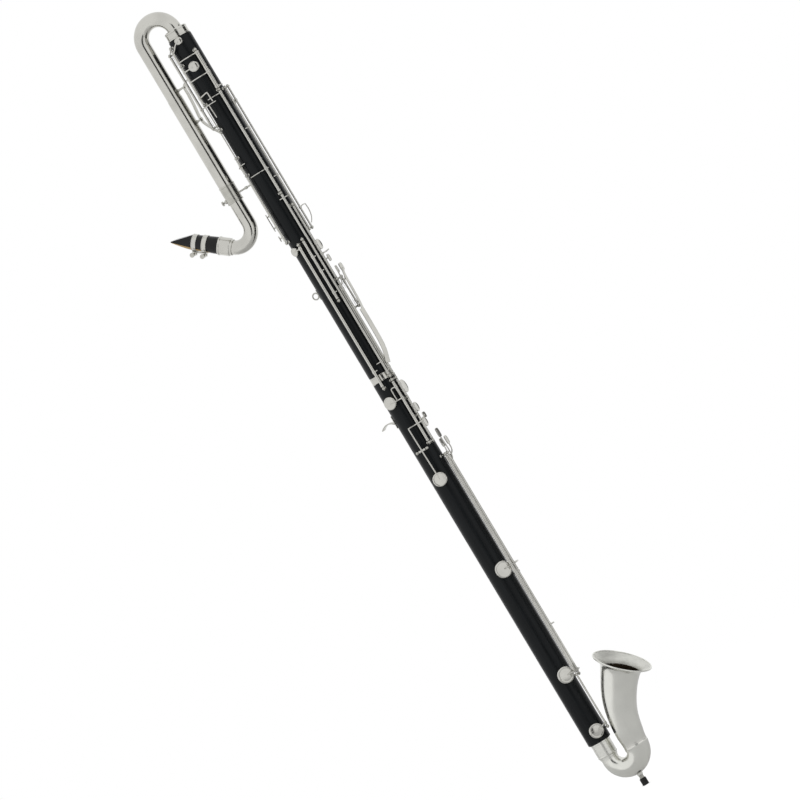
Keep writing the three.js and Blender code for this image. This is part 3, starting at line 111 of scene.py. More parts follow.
# Heights and distances worked out from the sizes above

BOW_FLOOR = FOOT.tip + FOOT.show + PEG_SOCKET.height + (BOW.start_radius + BOW.end_radius) / 2
FERRULE_FOOT = BOW_FLOOR + BOW.bend + BOW.depth
STACK_FOOT = FERRULE_FOOT + FERRULE.height + SEAT_GAP
STACK_TOP = STACK_FOOT + STACK.length
SEAM_HEIGHT = STACK_FOOT + SEAM * STACK.length
LOWER_TOP = SEAM_HEIGHT - STACK.joint_gap
COLLAR_TOP = STACK_TOP + SEAT_GAP + COLLAR.height
SLEEVE_TOP = COLLAR_TOP - NECK.bow_leg
SLEEVE_FOOT = SLEEVE_TOP - NECK.sleeve
CLAMP_FOOT = SLEEVE_FOOT - NECK.clamp
CROOK_CENTRE = CLAMP_FOOT - CROOK.leg
AXIS_X = -(BOW.bend + (BOW.end_radius - BOW.start_radius) * BOW.peg_share)
NEAR = STACK.radius + HINGE.height
TALL = STACK.radius + HINGE.tall
OCTAVE = STACK.radius + HINGE.octave
SIDE = STACK.radius + HINGE.side
LOW_OUT = STACK.radius + HINGE.low
CUP_BASE = STACK.radius + CUP.chimney + CUP.gap
CUP_TOP = CUP_BASE + CUP.rise
PLATE_TOP = STACK.radius + CUP.chimney + PLATES.lift + PLATES.thickness / 2
UNDER = STACK.radius + ARM_SLIM + CUP.chimney
OVER = NEAR + TUBES.slim + ARM + CUP.gap
OVER_LOW = LOW_OUT + TUBES.low + ARM + CUP.gap

# Hinge lines: angle from the body's front towards its right side, distance out, and their posts' height shares
LINES = {
    "left": (128, NEAR, [0.9921, 0.9671, 0.9122, 0.8768, 0.8366, 0.8122, 0.7171]),
    "octave": (150, OCTAVE, [0.9854, 0.8829]),
    "main": (43, NEAR, [0.9761, 0.92, 0.7732, 0.5141]),
    "side_inner": (12, NEAR, [0.9183, 0.7183]),
    "side_outer": (-7, SIDE, [0.9183, 0.7183]),
    "front": (25, NEAR, [0.7537, 0.6482, 0.5141]),
    "levers": (-7, SIDE, [0.6482, 0.6073]),
    "back": (86, NEAR, [0.7073, 0.5043]),
    "bridge": (63, NEAR, [0.711, 0.6244]),
    "low_g": (45, NEAR, [0.5085, 0.4201]),
    "plates": (25, NEAR, [0.5085, 0.4811, 0.4561, 0.4201]),
    "low_inner": (21, LOW_OUT, [0.3976, 0.0122]),
    "low_outer": (-6, TALL, [0.3976, 0.0848]),
    "low_far": (-24, TALL, [0.3976, 0.2293]),
}
POST_GROUPS = {
    "left_posts": ["left", "octave"], "main_posts": ["main"], "side_posts": ["side_inner", "side_outer"],
    "front_posts": ["front", "levers"], "back_posts": ["back"], "bridge_posts": ["bridge"],
    "right_hand_posts": ["low_g", "plates"], "low_posts": ["low_inner", "low_outer", "low_far"],
}
# Small arms that join two posts: the line and the number of the post at each end
TIES = {
    "left_posts": [("octave", 0, "left", 0), ("octave", 1, "left", 3)],
    "side_posts": [("side_inner", 0, "side_outer", 0), ("side_inner", 1, "side_outer", 1)],
    "front_posts": [("front", 1, "levers", 0)],
    "right_hand_posts": [("low_g", 0, "plates", 0), ("low_g", 1, "plates", 3)],
    "low_posts": [("low_inner", 0, "low_outer", 0), ("low_outer", 0, "low_far", 0)],
}


def key_row(line, post, tube=TUBES.slim, arm=ARM, thick=None, **forms):
    """A key between two neighbouring posts of a line, with the forms on its tube.

    A spot is an angle, a height share and, if wanted, a lift in body radii and a distance that isn't the line's.
    An arc gives two angles. Cups and plates are an angle, a share and a radius. Touches add their width and
    length to a spot, in body radii, and slabs are spots, a width and the angle they face.
    """
    none = dict(arms=[], arcs=[], cups=[], plates=[], touches=[], slabs=[])
    return Sizes(line=line, post=post, tube=tube, arm=arm, thick=thick, **{**none, **forms})


UPPER_KEYS = {
    "upper_vent_key": key_row(
        "left", 0, arms=[[(128, 0.9854), (112, 0.9884), (97, 0.9933, 0, CUP_TOP), (83, 0.9952, 0, CUP_TOP)]],
        cups=[(81, 0.9956, CUPS.vent)],
    ),
    "lower_vent_key": key_row(
        "left", 1,
        arms=[
            [(128, 0.959), (104, 0.959, 0, CUP_TOP), (83, 0.959, 0, CUP_TOP)],
            [(128, 0.922), (105, 0.9226, 0, OVER), (84, 0.9238, 0, OVER)],
            [(84, 0.9241, 0, OVER), (82, 0.911, 0, OVER)],
        ], cups=[(80, 0.9593, CUPS.octave)],
    ),
    "thumb_octave_lever": key_row(
        "octave", 0, arm=ARM_SLIM, arms=[[(99, 0.9093, 0.06), (99, 0.8915, -0.04)]],
        arcs=[(150, 73, 0.9093, 0.06)], touches=[((161, 0.8927), 0.5, 0.8)],
    ),
    "octave_rocker": key_row(
        "main", 0, tube=TUBES.thick,
        arms=[[(43, 0.9721), (43, 0.9721, 0.03, OVER)], [(43, 0.9444), (43, 0.9444, 0.03, OVER)]],
        arcs=[(43, 117, 0.9721, 0.03, OVER), (43, 117, 0.9444, 0.03, OVER), (43, 21, 0.9237, 0.08)],
    ),
    "throat_key": key_row(
        "main", 1, tube=TUBES.main, arm=ARM_SLIM, arms=[[(43, 0.8076, -0.05), (43, 0.8076, 0, UNDER)]],
        arcs=[(43, 98, 0.9154, -0.05), (24, 122, 0.8076, 0, UNDER)],
    ),
    "register_link": key_row(
        "side_inner", 0, tube=TUBES.thin, arm=ARM_SLIM, arcs=[(12, 33, 0.8622), (12, 33, 0.7945)],
    ),
    "side_trill_key": key_row(
        "side_outer", 0, tube=TUBES.thin, arm=ARM_SLIM,
        arms=[
            [(-7, 0.7463), (-8, 0.7476, 0.3), (-8, 0.7471, 0.5)],
            [(-8, 0.7473, 0.5), (-8, 0.7378, 0.52), (-8, 0.7293, 0.4), (-8, 0.7232, 0.16)],
            [(-7, 0.8988), (-20, 0.8988, -0.03), (-31, 0.8988, 0, CUP_TOP)],
        ], cups=[(-34, 0.8988, CUPS.side)],
    ),
    "left_side_vent_key": key_row(
        "left", 4, arm=ARM_SLIM, arms=[[(128, 0.8244), (146, 0.8244, 0.03), (158, 0.8244, 0, CUP_TOP)]],
        arcs=[(128, 101, 0.8262)], cups=[(161, 0.8244, CUPS.side)],
    ),
    "thumb_key": key_row(
        "left", 5,
        arms=[
            [(128, 0.7561), (152, 0.7561, 0.08)], [(128, 0.7402), (152, 0.7402, 0.08)],
            [(128, 0.7256), (152, 0.7256, 0.08)],
        ], touches=[((156, 0.7482, 0.1), 0.42, 1.55), ((154, 0.7256, 0.1), 0.34, 0.5)],
    ),
}

MIDDLE_KEYS = {
    "back_cup_key": key_row(
        "back", 0, tube=TUBES.main, arm=ARM_SLIM,
        arms=[[(86, 0.7024), (106, 0.7024), (119, 0.7024, 0, CUP_TOP)]], arcs=[(86, 72, 0.5273)],
        cups=[(122, 0.7024, CUPS.back)],
    ),
    "bridge_key": key_row(
        "bridge", 0, tube=TUBES.main, arm=ARM_SLIM,
        arcs=[(63, 51, 0.6854), (63, 51, 0.6659), (63, 51, 0.6354)],
    ),
    "main_stack_key": key_row("main", 2, arm=ARM_SLIM, arcs=[(20, 60, 0.7661), (43, 64, 0.5341)]),
    "left_plate_key": key_row(
        "front", 0,
        arms=[
            [(25, 0.6994), (9, 0.6982, 0, PLATE_TOP)], [(25, 0.6921), (9, 0.6933, 0, PLATE_TOP)],
            [(25, 0.6835), (12, 0.6841, 0.02), (5, 0.6841, 0.2), (3, 0.6848, 0.44)],
            [(25, 0.6756), (14, 0.6761, 0.06), (8, 0.6763, 0.1)],
        ], plates=[(2, 0.6959, PLATES.left)], touches=[((6, 0.6756, 0.12), 0.42, 0.62)],
    ),
    "left_lever_inner": key_row(
        "front", 1,
        arms=[
            [(25, 0.639), (16, 0.6402, 0.04), (12, 0.6451, 0.14), (8, 0.6573, 0.23)],
            [(33.5, 0.6402), (33.5, 0.52)], [(25, 0.6341), (33.5, 0.6341)], [(25, 0.5244), (33.5, 0.5244)],
        ], touches=[((8, 0.6585, 0.24), 0.3, 0.66)],
    ),
    "left_lever_outer": key_row(
        "levers", 0, tube=TUBES.thin, arm=ARM_SLIM,
        arms=[
            [(-7, 0.6402), (-8, 0.6451, 0.2), (-9, 0.6573, 0.4)],
            [(-7, 0.6146), (-8, 0.6085, 0.18), (-5, 0.6012, 0.2), (0, 0.5976, 0.18)],
        ], touches=[((-9, 0.6585, 0.4), 0.34, 0.7, 45)],
        slabs=[
            ([(-9, 0.6554, 0.38), (-7, 0.6482, 0.31), (-5, 0.6268, 0.28), (-3, 0.611, 0.25),
                (1, 0.5976, 0.19)], 0.2, 40),
            ([(3, 0.6024, 0.17), (3, 0.58, 0.17), (5, 0.5561, 0.16), (12, 0.5439, 0.15), (20, 0.5366, 0.15),
                (27, 0.529, 0.15)], 0.4, 40),
        ],
    ),
}

LOWER_KEYS = {
    "right_plate_1": key_row(
        "plates", 0, arms=[[(25, 0.4994), (9, 0.4982, 0, PLATE_TOP)], [(25, 0.4896), (9, 0.4915, 0, PLATE_TOP)]],
        plates=[(2, 0.4945, PLATES.large)],
    ),
    "right_plate_2": key_row(
        "plates", 1, arms=[[(25, 0.4689), (9, 0.4677, 0, PLATE_TOP)], [(25, 0.4622), (9, 0.4628, 0, PLATE_TOP)]],
        plates=[(2, 0.4651, PLATES.small)],
    ),
    "right_plate_3": key_row(
        "plates", 2, arms=[[(25, 0.4482), (9, 0.447, 0, PLATE_TOP)], [(25, 0.4402), (9, 0.4415, 0, PLATE_TOP)]],
        plates=[(2, 0.4443, PLATES.small)],
    ),
    "low_g_key": key_row(
        "low_g", 0, tube=TUBES.main, arm=ARM_SLIM,
        arms=[
            [(45, 0.4988), (64, 0.4988), (66, 0.4939), (66, 0.4841)],
            [(45, 0.4832), (68, 0.4832, 0.03), (97, 0.4841, 0, CUP_TOP)],
        ], cups=[(99, 0.4846, CUPS.low_g)],
    ),
    "low_key_upper": key_row(
        "low_far", 0,
        arms=[
            [(-24, 0.2407), (-21, 0.2407, 0.05, OVER_LOW)],
            [(34, 0.2407, 0.05, OVER_LOW), (43, 0.2407, 0, CUP_TOP)],
            [(-24, 0.3915), (-21, 0.3976, 0.05, OVER_LOW), (-18, 0.4122, 0.1, OVER_LOW)],
        ], arcs=[(-21, 34, 0.2407, 0.05, OVER_LOW)], cups=[(47, 0.2407, CUPS.low)],
        touches=[((-18, 0.4116, 0.12, OVER_LOW), 0.5, 0.74, 24)],
    ),
    "low_key_middle": key_row(
        "low_outer", 0, tube=TUBES.slim_low,
        arms=[
            [(-6, 0.1537), (-12, 0.1537, 0.36)],
            [(-6, 0.0905), (4, 0.0905, 0, OVER_LOW), (14, 0.0905, 0.02, OVER_LOW)],
            [(32, 0.0905, 0.02, OVER_LOW), (45, 0.0907, 0, CUP_TOP)],
            [(-6, 0.3854), (-6, 0.3915, 0.22), (-5, 0.4012, 0.26), (-4, 0.4183, 0.22)],
        ], arcs=[(14, 32, 0.0905, 0.02, OVER_LOW)], cups=[(50, 0.0915, CUPS.low_mid)],
        touches=[((-4, 0.4244, 0.24), 0.42, 0.8, 20)],
    ),
    "low_key_lower": key_row(
        "low_inner", 0, tube=TUBES.thin, thick=(0.3945, 0.089, TUBES.low),
        arms=[
            [(21, 0.0171), (38, 0.0159, -0.05), (53, 0.014, 0, CUP_TOP)],
            [(21, 0.3854), (20, 0.3915, 0.22), (17, 0.4012, 0.24), (12, 0.4104, 0.15)],
        ], cups=[(59, 0.014, CUPS.low_end)], touches=[((12, 0.4116, 0.16), 0.36, 0.74, 12)],
    ),
}

KEYS = {**UPPER_KEYS, **MIDDLE_KEYS, **LOWER_KEYS}

# The key that rocks on a cross pivot: its angle, then shares of the body's height, then millimetres
FORK = Sizes(
    angle=81.5, pivot=0.4154, top=0.4468, cup=0.3744, touch=0.4518, pivot_out=9.5, half_span=12, tube_half=7.6,
    arm_out=13.4, bend_angle=32, touch_angle=15, touch_width=0.4, touch_length=0.5,
)


# Finishes


def linear(code):
    """An sRGB hex colour as linear values."""
    values = [int(code[i:i + 2], 16) / 255 for i in (0, 2, 4)]
    return [v / 12.92 if v <= 0.04045 else ((v + 0.055) / 1.055) ** 2.4 for v in values]


def colour(code, name, about):
    return bpy.props.FloatVectorProperty(
        name=name, description=about, subtype="COLOR", size=3, min=0, max=1, default=linear(code),
    )


def factor(value, name, about):
    return bpy.props.FloatProperty(
        name=name, description=about, subtype="FACTOR", min=0, max=1, default=value,
    )


class ClarinetFinish(bpy.types.PropertyGroup):
    """Colours and dullness of the clarinet's materials."""

    silver: colour("C8C7C1", "Silver plate", "Colour of the buffed silver plate")
    silver_roughness: factor(0.14, "Silver roughness", "How dull the buffed plate is")
    bell: colour("E0E0DA", "Bell plate", "Colour of the plate on the bell and its bow")
    bell_roughness: factor(0.2, "Bell roughness", "How dull the bell's plate is")
    nickel: colour("BDBCB5", "Nickel silver", "Colour of the posts, rods and screws")
    # Dark to paint the shade deep inside the bell's tube
    bore: colour("3A3128", "Bell bore", "Colour inside the bell's tube, darkened to paint its deep shade")
    body: colour("0E1113", "Body resin", "Colour of the two body joints")
    body_roughness: factor(0.34, "Body roughness", "How dull the body's rub is")
    ebonite: colour("08090A", "Ebonite", "Colour of the mouthpiece")
    # Straw colour darkened below bare cane: partly the reed's own colour, partly painted shade for its underside
    cane: colour("B79A63", "Cane", "Colour of the reed")
    cork: colour("BE9562", "Cork", "Colour of the tenon corks and stops")
    leather: colour("D9CDB2", "Pad leather", "Colour of the pads")
    rubber: colour("131313", "Rubber", "Colour of the floor peg's tip")
    steel: colour("33415C", "Spring steel", "Colour of the needle springs")
    straw: colour("5B5046", "Spring straw", "Tinge of the springs where the heat ran off")


def grains(size, detail=3.0, stretch=1.0, turn=0.0):
    """Noise with grains of a real size in millimetres, squeezed along Z and turned about Y."""
    return size, detail, stretch, turn


def look(name, tint, grain, tones, run=(0.35, 0.65), dull=None, bumps=None, pale=None, **even):
    """A finish: what it is called, and its colour's pattern with the darkest and palest tone of the tint.

    run is the stretch of the pattern between those tones. dull is a pattern with its least and most roughness,
    as shares of the tint's own roughness where it has one. bumps is a pattern, a depth in millimetres and a
    strength. pale is another tint for the palest tone, and even is what is the same all over.
    """
    return Sizes(
        name=name, tint=tint, pale=pale or tint, grain=grain, tones=tones, run=run, dull=dull, bumps=bumps,
        even=even,
    )


LONG_GRAIN = grains(2.4, 4, 0.03)
FIBRE = grains(0.5, 4, 0.04, math.radians(180 - CROOK.turn))
PORES, KID, BLOOM, HEAT = grains(1.6, 5), grains(0.7, 4), grains(1.2, 4), grains(9)

LOOKS = {
    # Buffed silver plate: a mirror with the faint waves of hand buffing and a breath of warm tarnish
    "silver": look(
        "silver plate, buffed", "silver", grains(38), (0.9, 1), (0.36, 0.6), (grains(3.5, 4), 0.8, 1.25),
        (grains(14, 2), 0.06, 0.35), Metallic=1,
    ),
    # Silver plate over a spun bell: softer than the buffed plate, so that it draws broad pale reflections
    "bell": look(
        "silver plate on the bell, satin", "bell", grains(60), (0.93, 1), (0.36, 0.6), (grains(5, 4), 0.85, 1.2),
        (grains(20, 2), 0.08, 0.3), Metallic=1,
    ),
    # Silver plate blasted with fine beads, inside the bell's mouth: pale and even, with no clear reflections
    "frosted": look(
        "silver plate, frosted", "bell", grains(24), (0.86, 0.96), dull=(grains(2, 4), 2.3, 2.9), Metallic=1,
    ),
    # Nickel silver posts and rods, machine polished: a shade darker and a little duller than the plate
    "nickel": look(
        "nickel silver, polished", "nickel", grains(22), (0.86, 1), (0.36, 0.6), (grains(2), 0.18, 0.3),
        (grains(6, 2), 0.03, 0.3), Metallic=1,
    ),
    # Moulded black resin with a satin rub: nearly black, a cool tint, and faint lines along the bore
    "black_body": look(
        "black resin, satin", "body", LONG_GRAIN, (0.7, 1.25), dull=(grains(16, 3, 0.3), 0.85, 1.2),
        bumps=(LONG_GRAIN, 0.04, 0.4), IOR=1.5, **{"Specular IOR Level": 0.16},
    ),
    # Polished hard rubber: deep black and glossy, with a few soft rub marks
    "ebonite": look(
        "ebonite, polished", "ebonite", grains(12), (0.75, 1.2), dull=(grains(4, 4), 0.14, 0.26),
        bumps=(grains(9, 2), 0.03, 0.3), IOR=1.5, **{"Specular IOR Level": 0.3},
    ),
    # Bare reed cane: straw coloured but darkened all over as painted shade for the reed's underside, with fine
    # fibres along its length and small brown flecks
    "cane": look("reed cane, bare", "cane", FIBRE, (0.72, 1), (0.3, 0.6), bumps=(FIBRE, 0.05, 0.5), Roughness=0.55),
    # Natural cork sheet: tan, with dark pores a millimetre or two across
    "cork": look("cork, natural", "cork", PORES, (0.4, 1), (0.3, 0.5), bumps=(PORES, 0.2, 0.6), Roughness=0.9),
    # Pale kid leather over felt, pressed by the tone hole: soft, fine grained and almost matt
    "leather": look("kid leather pad", "leather", KID, (0.82, 1), bumps=(KID, 0.06, 0.5), Roughness=0.62),
    # Moulded black rubber: matt, with a fine bloom
    "rubber": look("moulded rubber, matt", "rubber", BLOOM, (1, 1.7), bumps=(BLOOM, 0.06, 0.5), Roughness=0.78),
    # Blued spring steel: dark blue with a straw tinge where the heat ran off
    "steel": look(
        "spring steel, blued", "steel", HEAT, (1, 1), (0.4, 0.75), (HEAT, 0.25, 0.38), pale="straw", Metallic=1,
    ),
    # The inside of the bell's tube: dark brown metal whose darkness is painted shade, for the deep throat that
    # light hardly reaches
    "bore": look(
        "brass, tarnished brown", "bore", grains(16), (0.6, 1), (0.3, 0.7), (grains(4), 0.32, 0.5), Metallic=1,
    ),
}


def add_node(tree, kind, settings=None, links=None):
    """Add a node with its settings and what feeds its sockets."""
    node = tree.nodes.new(kind)
    for key, value in (settings or {}).items():
        if hasattr(node, key):
            setattr(node, key, value)
        else:
            node.inputs[key].default_value = value
    for key, source in (links or {}).items():
        if isinstance(source, bpy.types.NodeSocket):
            tree.links.new(source, node.inputs[key])
        else:
            node.inputs[key].default_value = source
    return node


def cleared(owner):
    """The emptied node tree of a material or a world."""
    owner.use_nodes = True
    owner.node_tree.nodes.clear()
    return owner.node_tree


NOISE = Sizes(low=0.35, high=0.65)  # between these lie most values of a noise texture


def dressed(key):
    """The material of a look, made the first time it is asked for."""
    row, tints = LOOKS[key], bpy.context.scene.clarinet_finish
    made = bpy.data.materials.get(row.name)
    if made:
        return made
    made = bpy.data.materials.new(row.name)
    tree = cleared(made)
    place = add_node(tree, "ShaderNodeTexCoord").outputs["Object"]
    values = {}
    patterns = [row.grain] + [given[0] for given in (row.dull, row.bumps) if given]
    for pattern in dict.fromkeys(patterns):
        size, detail, stretch, turn = pattern
        mapping = add_node(
            tree, "ShaderNodeMapping", {"Scale": (1, 1, stretch), "Rotation": (0, turn, 0)}, {"Vector": place},
        )
        values[pattern] = add_node(
            tree, "ShaderNodeTexNoise", {"Scale": 1 / (size * MM), "Detail": detail},
            {"Vector": mapping.outputs["Vector"]},
        ).outputs["Fac"]
    ramp = add_node(tree, "ShaderNodeValToRGB", links={"Fac": values[row.grain]})
    for stop, position, tint, tone in zip(ramp.color_ramp.elements, row.run, (row.tint, row.pale), row.tones):
        stop.position = position
        stop.color = (*(min(value * tone, 1) for value in getattr(tints, tint)), 1)
    feeds = {"Base Color": ramp.outputs["Color"]}
    if row.dull:
        pattern, least, most = row.dull
        usual = getattr(tints, row.tint + "_roughness", 1)
        feeds["Roughness"] = add_node(
            tree, "ShaderNodeMapRange",
            {"From Min": NOISE.low, "From Max": NOISE.high, "To Min": usual * least, "To Max": usual * most},
            {"Value": values[pattern]},
        ).outputs["Result"]
    if row.bumps:
        pattern, depth, strength = row.bumps
        feeds["Normal"] = add_node(
            tree, "ShaderNodeBump", {"Strength": strength, "Distance": depth * MM}, {"Height": values[pattern]},
        ).outputs["Normal"]
    surface = add_node(tree, "ShaderNodeBsdfPrincipled", row.even, feeds)
    add_node(tree, "ShaderNodeOutputMaterial", links={"Surface": surface.outputs["BSDF"]})
    return made


# Small sizes that only this script shows, millimetres unless they say otherwise


def length_of(value, name, about):
    return bpy.props.FloatProperty(
        name=name, description=about, unit="LENGTH", precision=5, min=0, default=value * MM,
    )


class ClarinetDetail(bpy.types.PropertyGroup):
    """Small sizes of the keywork's details."""

    knurls: bpy.props.IntProperty(
        name="Knurls", description="Ridges round each thumb screw's head", default=30, min=8, max=80,
    )
    screw_slot: length_of(0.7, "Screw slot", "Width of the slot in each screw's head")
    spring_wire: length_of(0.42, "Spring wire", "Radius of a needle spring at its post")
    touch_dish: length_of(0.35, "Touch dish", "Depth of the dish in each touch")


# Modelling: parts are made with mesh operators and gathered into one mesh for each piece

ROUND = 64  # sides of the wide turned parts
SMALL = 28  # sides of posts, rods and screws
BAR = 12  # sides of arms and wires
SHARP = math.radians(38)
BACKWARDS = Matrix.Rotation(-math.pi / 2, 4, "Y")
SOCKET = TENON.radius + TENON.cork_wall + SEAT_GAP
WALL = STACK.radius + SEAT_GAP
TENON_FOOT = SEAM_HEIGHT - STACK.joint_gap - TENON.length
BELL_TENON_FOOT = STACK_FOOT - TENON.length


def soften(part, offset, angle=30, segments=2):
    """Round the edges that are sharper than an angle."""
    sharp = [
        edge for edge in part.edges
        if len(edge.link_faces) == 2 and edge.calc_face_angle() > math.radians(angle)
    ]
    if sharp and offset > 0:
        bmesh.ops.bevel(
            part, geom=sharp, offset=offset, segments=segments, profile=0.5, affect="EDGES", material=-1,
            clamp_overlap=True,
        )
    return part


def closed(part):
    """Merge doubled vertices and point the faces outwards."""
    bmesh.ops.remove_doubles(part, verts=part.verts, dist=0.002)
    bmesh.ops.dissolve_degenerate(part, edges=part.edges, dist=0.001)
    bmesh.ops.recalc_face_normals(part, faces=part.faces)
    return part


def placed(part, place):
    bmesh.ops.transform(part, matrix=place, verts=part.verts)
    return part


def everything(part):
    return [*part.verts, *part.edges, *part.faces]


def spun(part, steps, angle=math.tau):
    """What a part holds, swept round Z."""
    bmesh.ops.spin(
        part, geom=everything(part), cent=(0, 0, 0), axis=(0, 0, 1), dvec=(0, 0, 0), angle=angle, steps=steps,
        use_merge=angle == math.tau,
    )
    return closed(part)


def turned(profile, steps=ROUND, soft=0.0):
    """A profile of radius and height spun round Z."""
    part = bmesh.new()
    verts = [part.verts.new((radius, 0, height)) for radius, height in profile]
    for pair in zip(verts, verts[1:]):
        part.edges.new(pair)
    return soften(spun(part, steps), soft)


def disc(radius, low, high, steps=SMALL, soft=0.25):
    return turned([(0, low), (radius, low), (radius, high), (0, high)], steps, soft)


def shell(inner, *wall):
    """A wall's profile, from its foot up, closed round a bore."""
    return [(inner, wall[0][1]), *wall, (inner, wall[-1][1]), (inner, wall[0][1])]


def run(radius, low, high, step=24):
    """Points up a straight wall, close enough together to shade evenly."""
    count = max(1, round(abs(high - low) / step))
    return [(radius, low + (high - low) * i / count) for i in range(count + 1)]


def banded(outer, waist, low, high, corner, band, ease, step=None):
    """Points up a wall that stands out in a band at each end."""
    cut, rise = corner
    foot = [(outer - cut, 0), (outer, rise), (outer, band), (waist, band + ease)]
    between = run(waist, low + band + 6, high - band - 6, step) if step else []
    top = [(radius, high - down) for radius, down in reversed(foot)]
    return [(radius, low + up) for radius, up in foot] + between + top


def block(low, high, soft=0.4):
    """A rounded block between two corners."""
    part, size = bmesh.new(), Vector(high) - Vector(low)
    place = Matrix.Translation(Vector(low) + size / 2) @ Matrix.Diagonal((*size, 1))
    bmesh.ops.create_cube(part, size=1, matrix=place)
    return soften(part, soft)


def ring(radius, wire, steps):
    """A round wire bent to a closed ring."""
    part = bmesh.new()
    place = Matrix.Translation((radius, 0, 0)) @ Matrix.Rotation(math.pi / 2, 4, "X")
    bmesh.ops.create_circle(part, cap_ends=False, radius=wire, segments=16, matrix=place)
    return spun(part, steps)


def risen(part, height):
    """Extrude a flat part's faces up Z and close it."""
    grown = bmesh.ops.extrude_face_region(part, geom=list(part.faces))["geom"]
    lifted = [item for item in grown if isinstance(item, bmesh.types.BMVert)]
    bmesh.ops.translate(part, verts=lifted, vec=(0, 0, height))
    return part


def planed(part, spot, away):
    """Plane a flat on a solid part, cutting what lies beyond it, and close the part again."""
    cut = bmesh.ops.bisect_plane(
        part, geom=everything(part), dist=1e-4, plane_co=spot, plane_no=away, clear_outer=True,
    )["geom_cut"]
    bmesh.ops.contextual_create(part, geom=[e for e in cut if isinstance(e, bmesh.types.BMEdge)])
    return part


def lofted(stations, sides, loop=False, corner=0.0):
    """A unit ring extruded from one placed station to the next, closed at both ends."""
    part = bmesh.new()
    turn = Matrix.Rotation(corner, 4, "Z")
    stations = [station @ turn for station in stations]
    bmesh.ops.create_circle(part, cap_ends=False, radius=1, segments=sides, matrix=stations[0])
    edges = list(part.edges)
    ends = [edges]
    for here, there in zip(stations, stations[1:]):
        made = bmesh.ops.extrude_edge_only(part, edges=edges)["geom"]
        verts = [item for item in made if isinstance(item, bmesh.types.BMVert)]
        fresh = set(verts)
        edges = [
            item for item in made
            if isinstance(item, bmesh.types.BMEdge) and fresh.issuperset(item.verts)
        ]
        bmesh.ops.transform(part, matrix=there @ here.inverted(), verts=verts)
    ends.append(edges)
    if not loop:
        for rim in ends:
            bmesh.ops.contextual_create(part, geom=rim)
    return closed(part)


def station(spot, across, up, along, width, thickness):
    """Where a unit ring stands on a path, and how wide and thick it is there."""
    place = Matrix((across * width, up * thickness, along)).transposed().to_4x4()
    place.translation = spot
    return place


def bar(points, width, thickness=None, sides=BAR, up=None, swell=None, corner=0.0):
    """A bar along a path, kept from twisting, or with its flat turned to face up(point)."""
    thickness = thickness or width
    stations = []
    across = None
    for i, spot in enumerate(points):
        ahead = points[min(i + 1, len(points) - 1)] - points[max(i - 1, 0)]
        along = ahead.normalized()
        if up:
            across = up(spot).cross(along).normalized()
        elif across is None:
            steady = Vector((0, 0, 1)) if abs(along.z) < 0.8 else Vector((1, 0, 0))
            across = steady.cross(along).normalized()
        else:
            across = (across - along * across.dot(along)).normalized()
        grow = swell(i / (len(points) - 1)) if swell else 1
        stations.append(
            station(spot, across, along.cross(across), along, width * grow, thickness * grow)
        )
    return lofted(stations, sides, corner=corner)


def strip(points, width, thickness, up, soft=0.4):
    """A flat strap along a path: a four-sided bar with rounded edges."""
    half = math.sqrt(2) / 2
    made = bar(points, width * half, thickness * half, sides=4, up=up, corner=math.pi / 4)
    return soften(made, soft, angle=50)


def smooth_way(points, steps=6):
    """Points along the centripetal curve through the given ones."""
    rows = [points[0] * 2 - points[1], *points, points[-1] * 2 - points[-2]]
    way = []
    for a, b, c, d in zip(rows, rows[1:], rows[2:], rows[3:]):
        first, middle, last = [max((q - p).length, 1e-4) ** 0.5 for p, q in ((a, b), (b, c), (c, d))]
        leave = ((b - a) / first - (c - a) / (first + middle)) * middle + (c - b)
        reach = ((c - b) / middle - (d - b) / (middle + last) + (d - c) / last) * middle
        for i in range(steps):
            t = i / steps
            bend = (c - b) * 3 - leave * 2 - reach
            twist = (b - c) * 2 + leave + reach
            way.append(b + leave * t + bend * t * t + twist * t * t * t)
    return [*way, points[-1]]


def polar(angle, radius, height):
    """A point at an angle round the body's axis, a distance out from it and a height."""
    turn = math.radians(angle)
    return Vector((AXIS_X + radius * math.cos(turn), -radius * math.sin(turn), height))


def facing_out(angle, spot):
    """Puts a part whose face looks along +X on a spot, facing away from the body."""
    return Matrix.Translation(spot) @ Matrix.Rotation(-math.radians(angle), 4, "Z")


def outward(angle, radius, height):
    """Puts a part that points along Z on the body's side, pointing away from it."""
    return facing_out(angle, polar(angle, radius, height)) @ Matrix.Rotation(math.pi / 2, 4, "Y")


def upright(x, z=0.0):
    return Matrix.Translation((AXIS_X + x, 0, z))


def in_plane(x, z):
    """A point in the plane of the neck and bell, its x counted from the body's axis."""
    return Vector((AXIS_X + x, 0, z))


def height_at(share):
    return STACK_FOOT + share * STACK.length


def away_from_body(spot):
    return Vector((spot.x - AXIS_X, spot.y, 0)).normalized()


def at(out, angle, share, lift=0, away=None):
    """A spot in a key's row, on the distance out of its line unless it has its own."""
    return polar(angle, (away or out) + lift * STACK.radius, height_at(share))


def meshed(name, part):
    """The mesh of a part, which is let go."""
    mesh = bpy.data.meshes.new(name)
    part.to_mesh(mesh)
    part.free()
    return mesh


def linked(name, data):
    made = bpy.data.objects.new(name, data)
    bpy.context.scene.collection.objects.link(made)
    return made


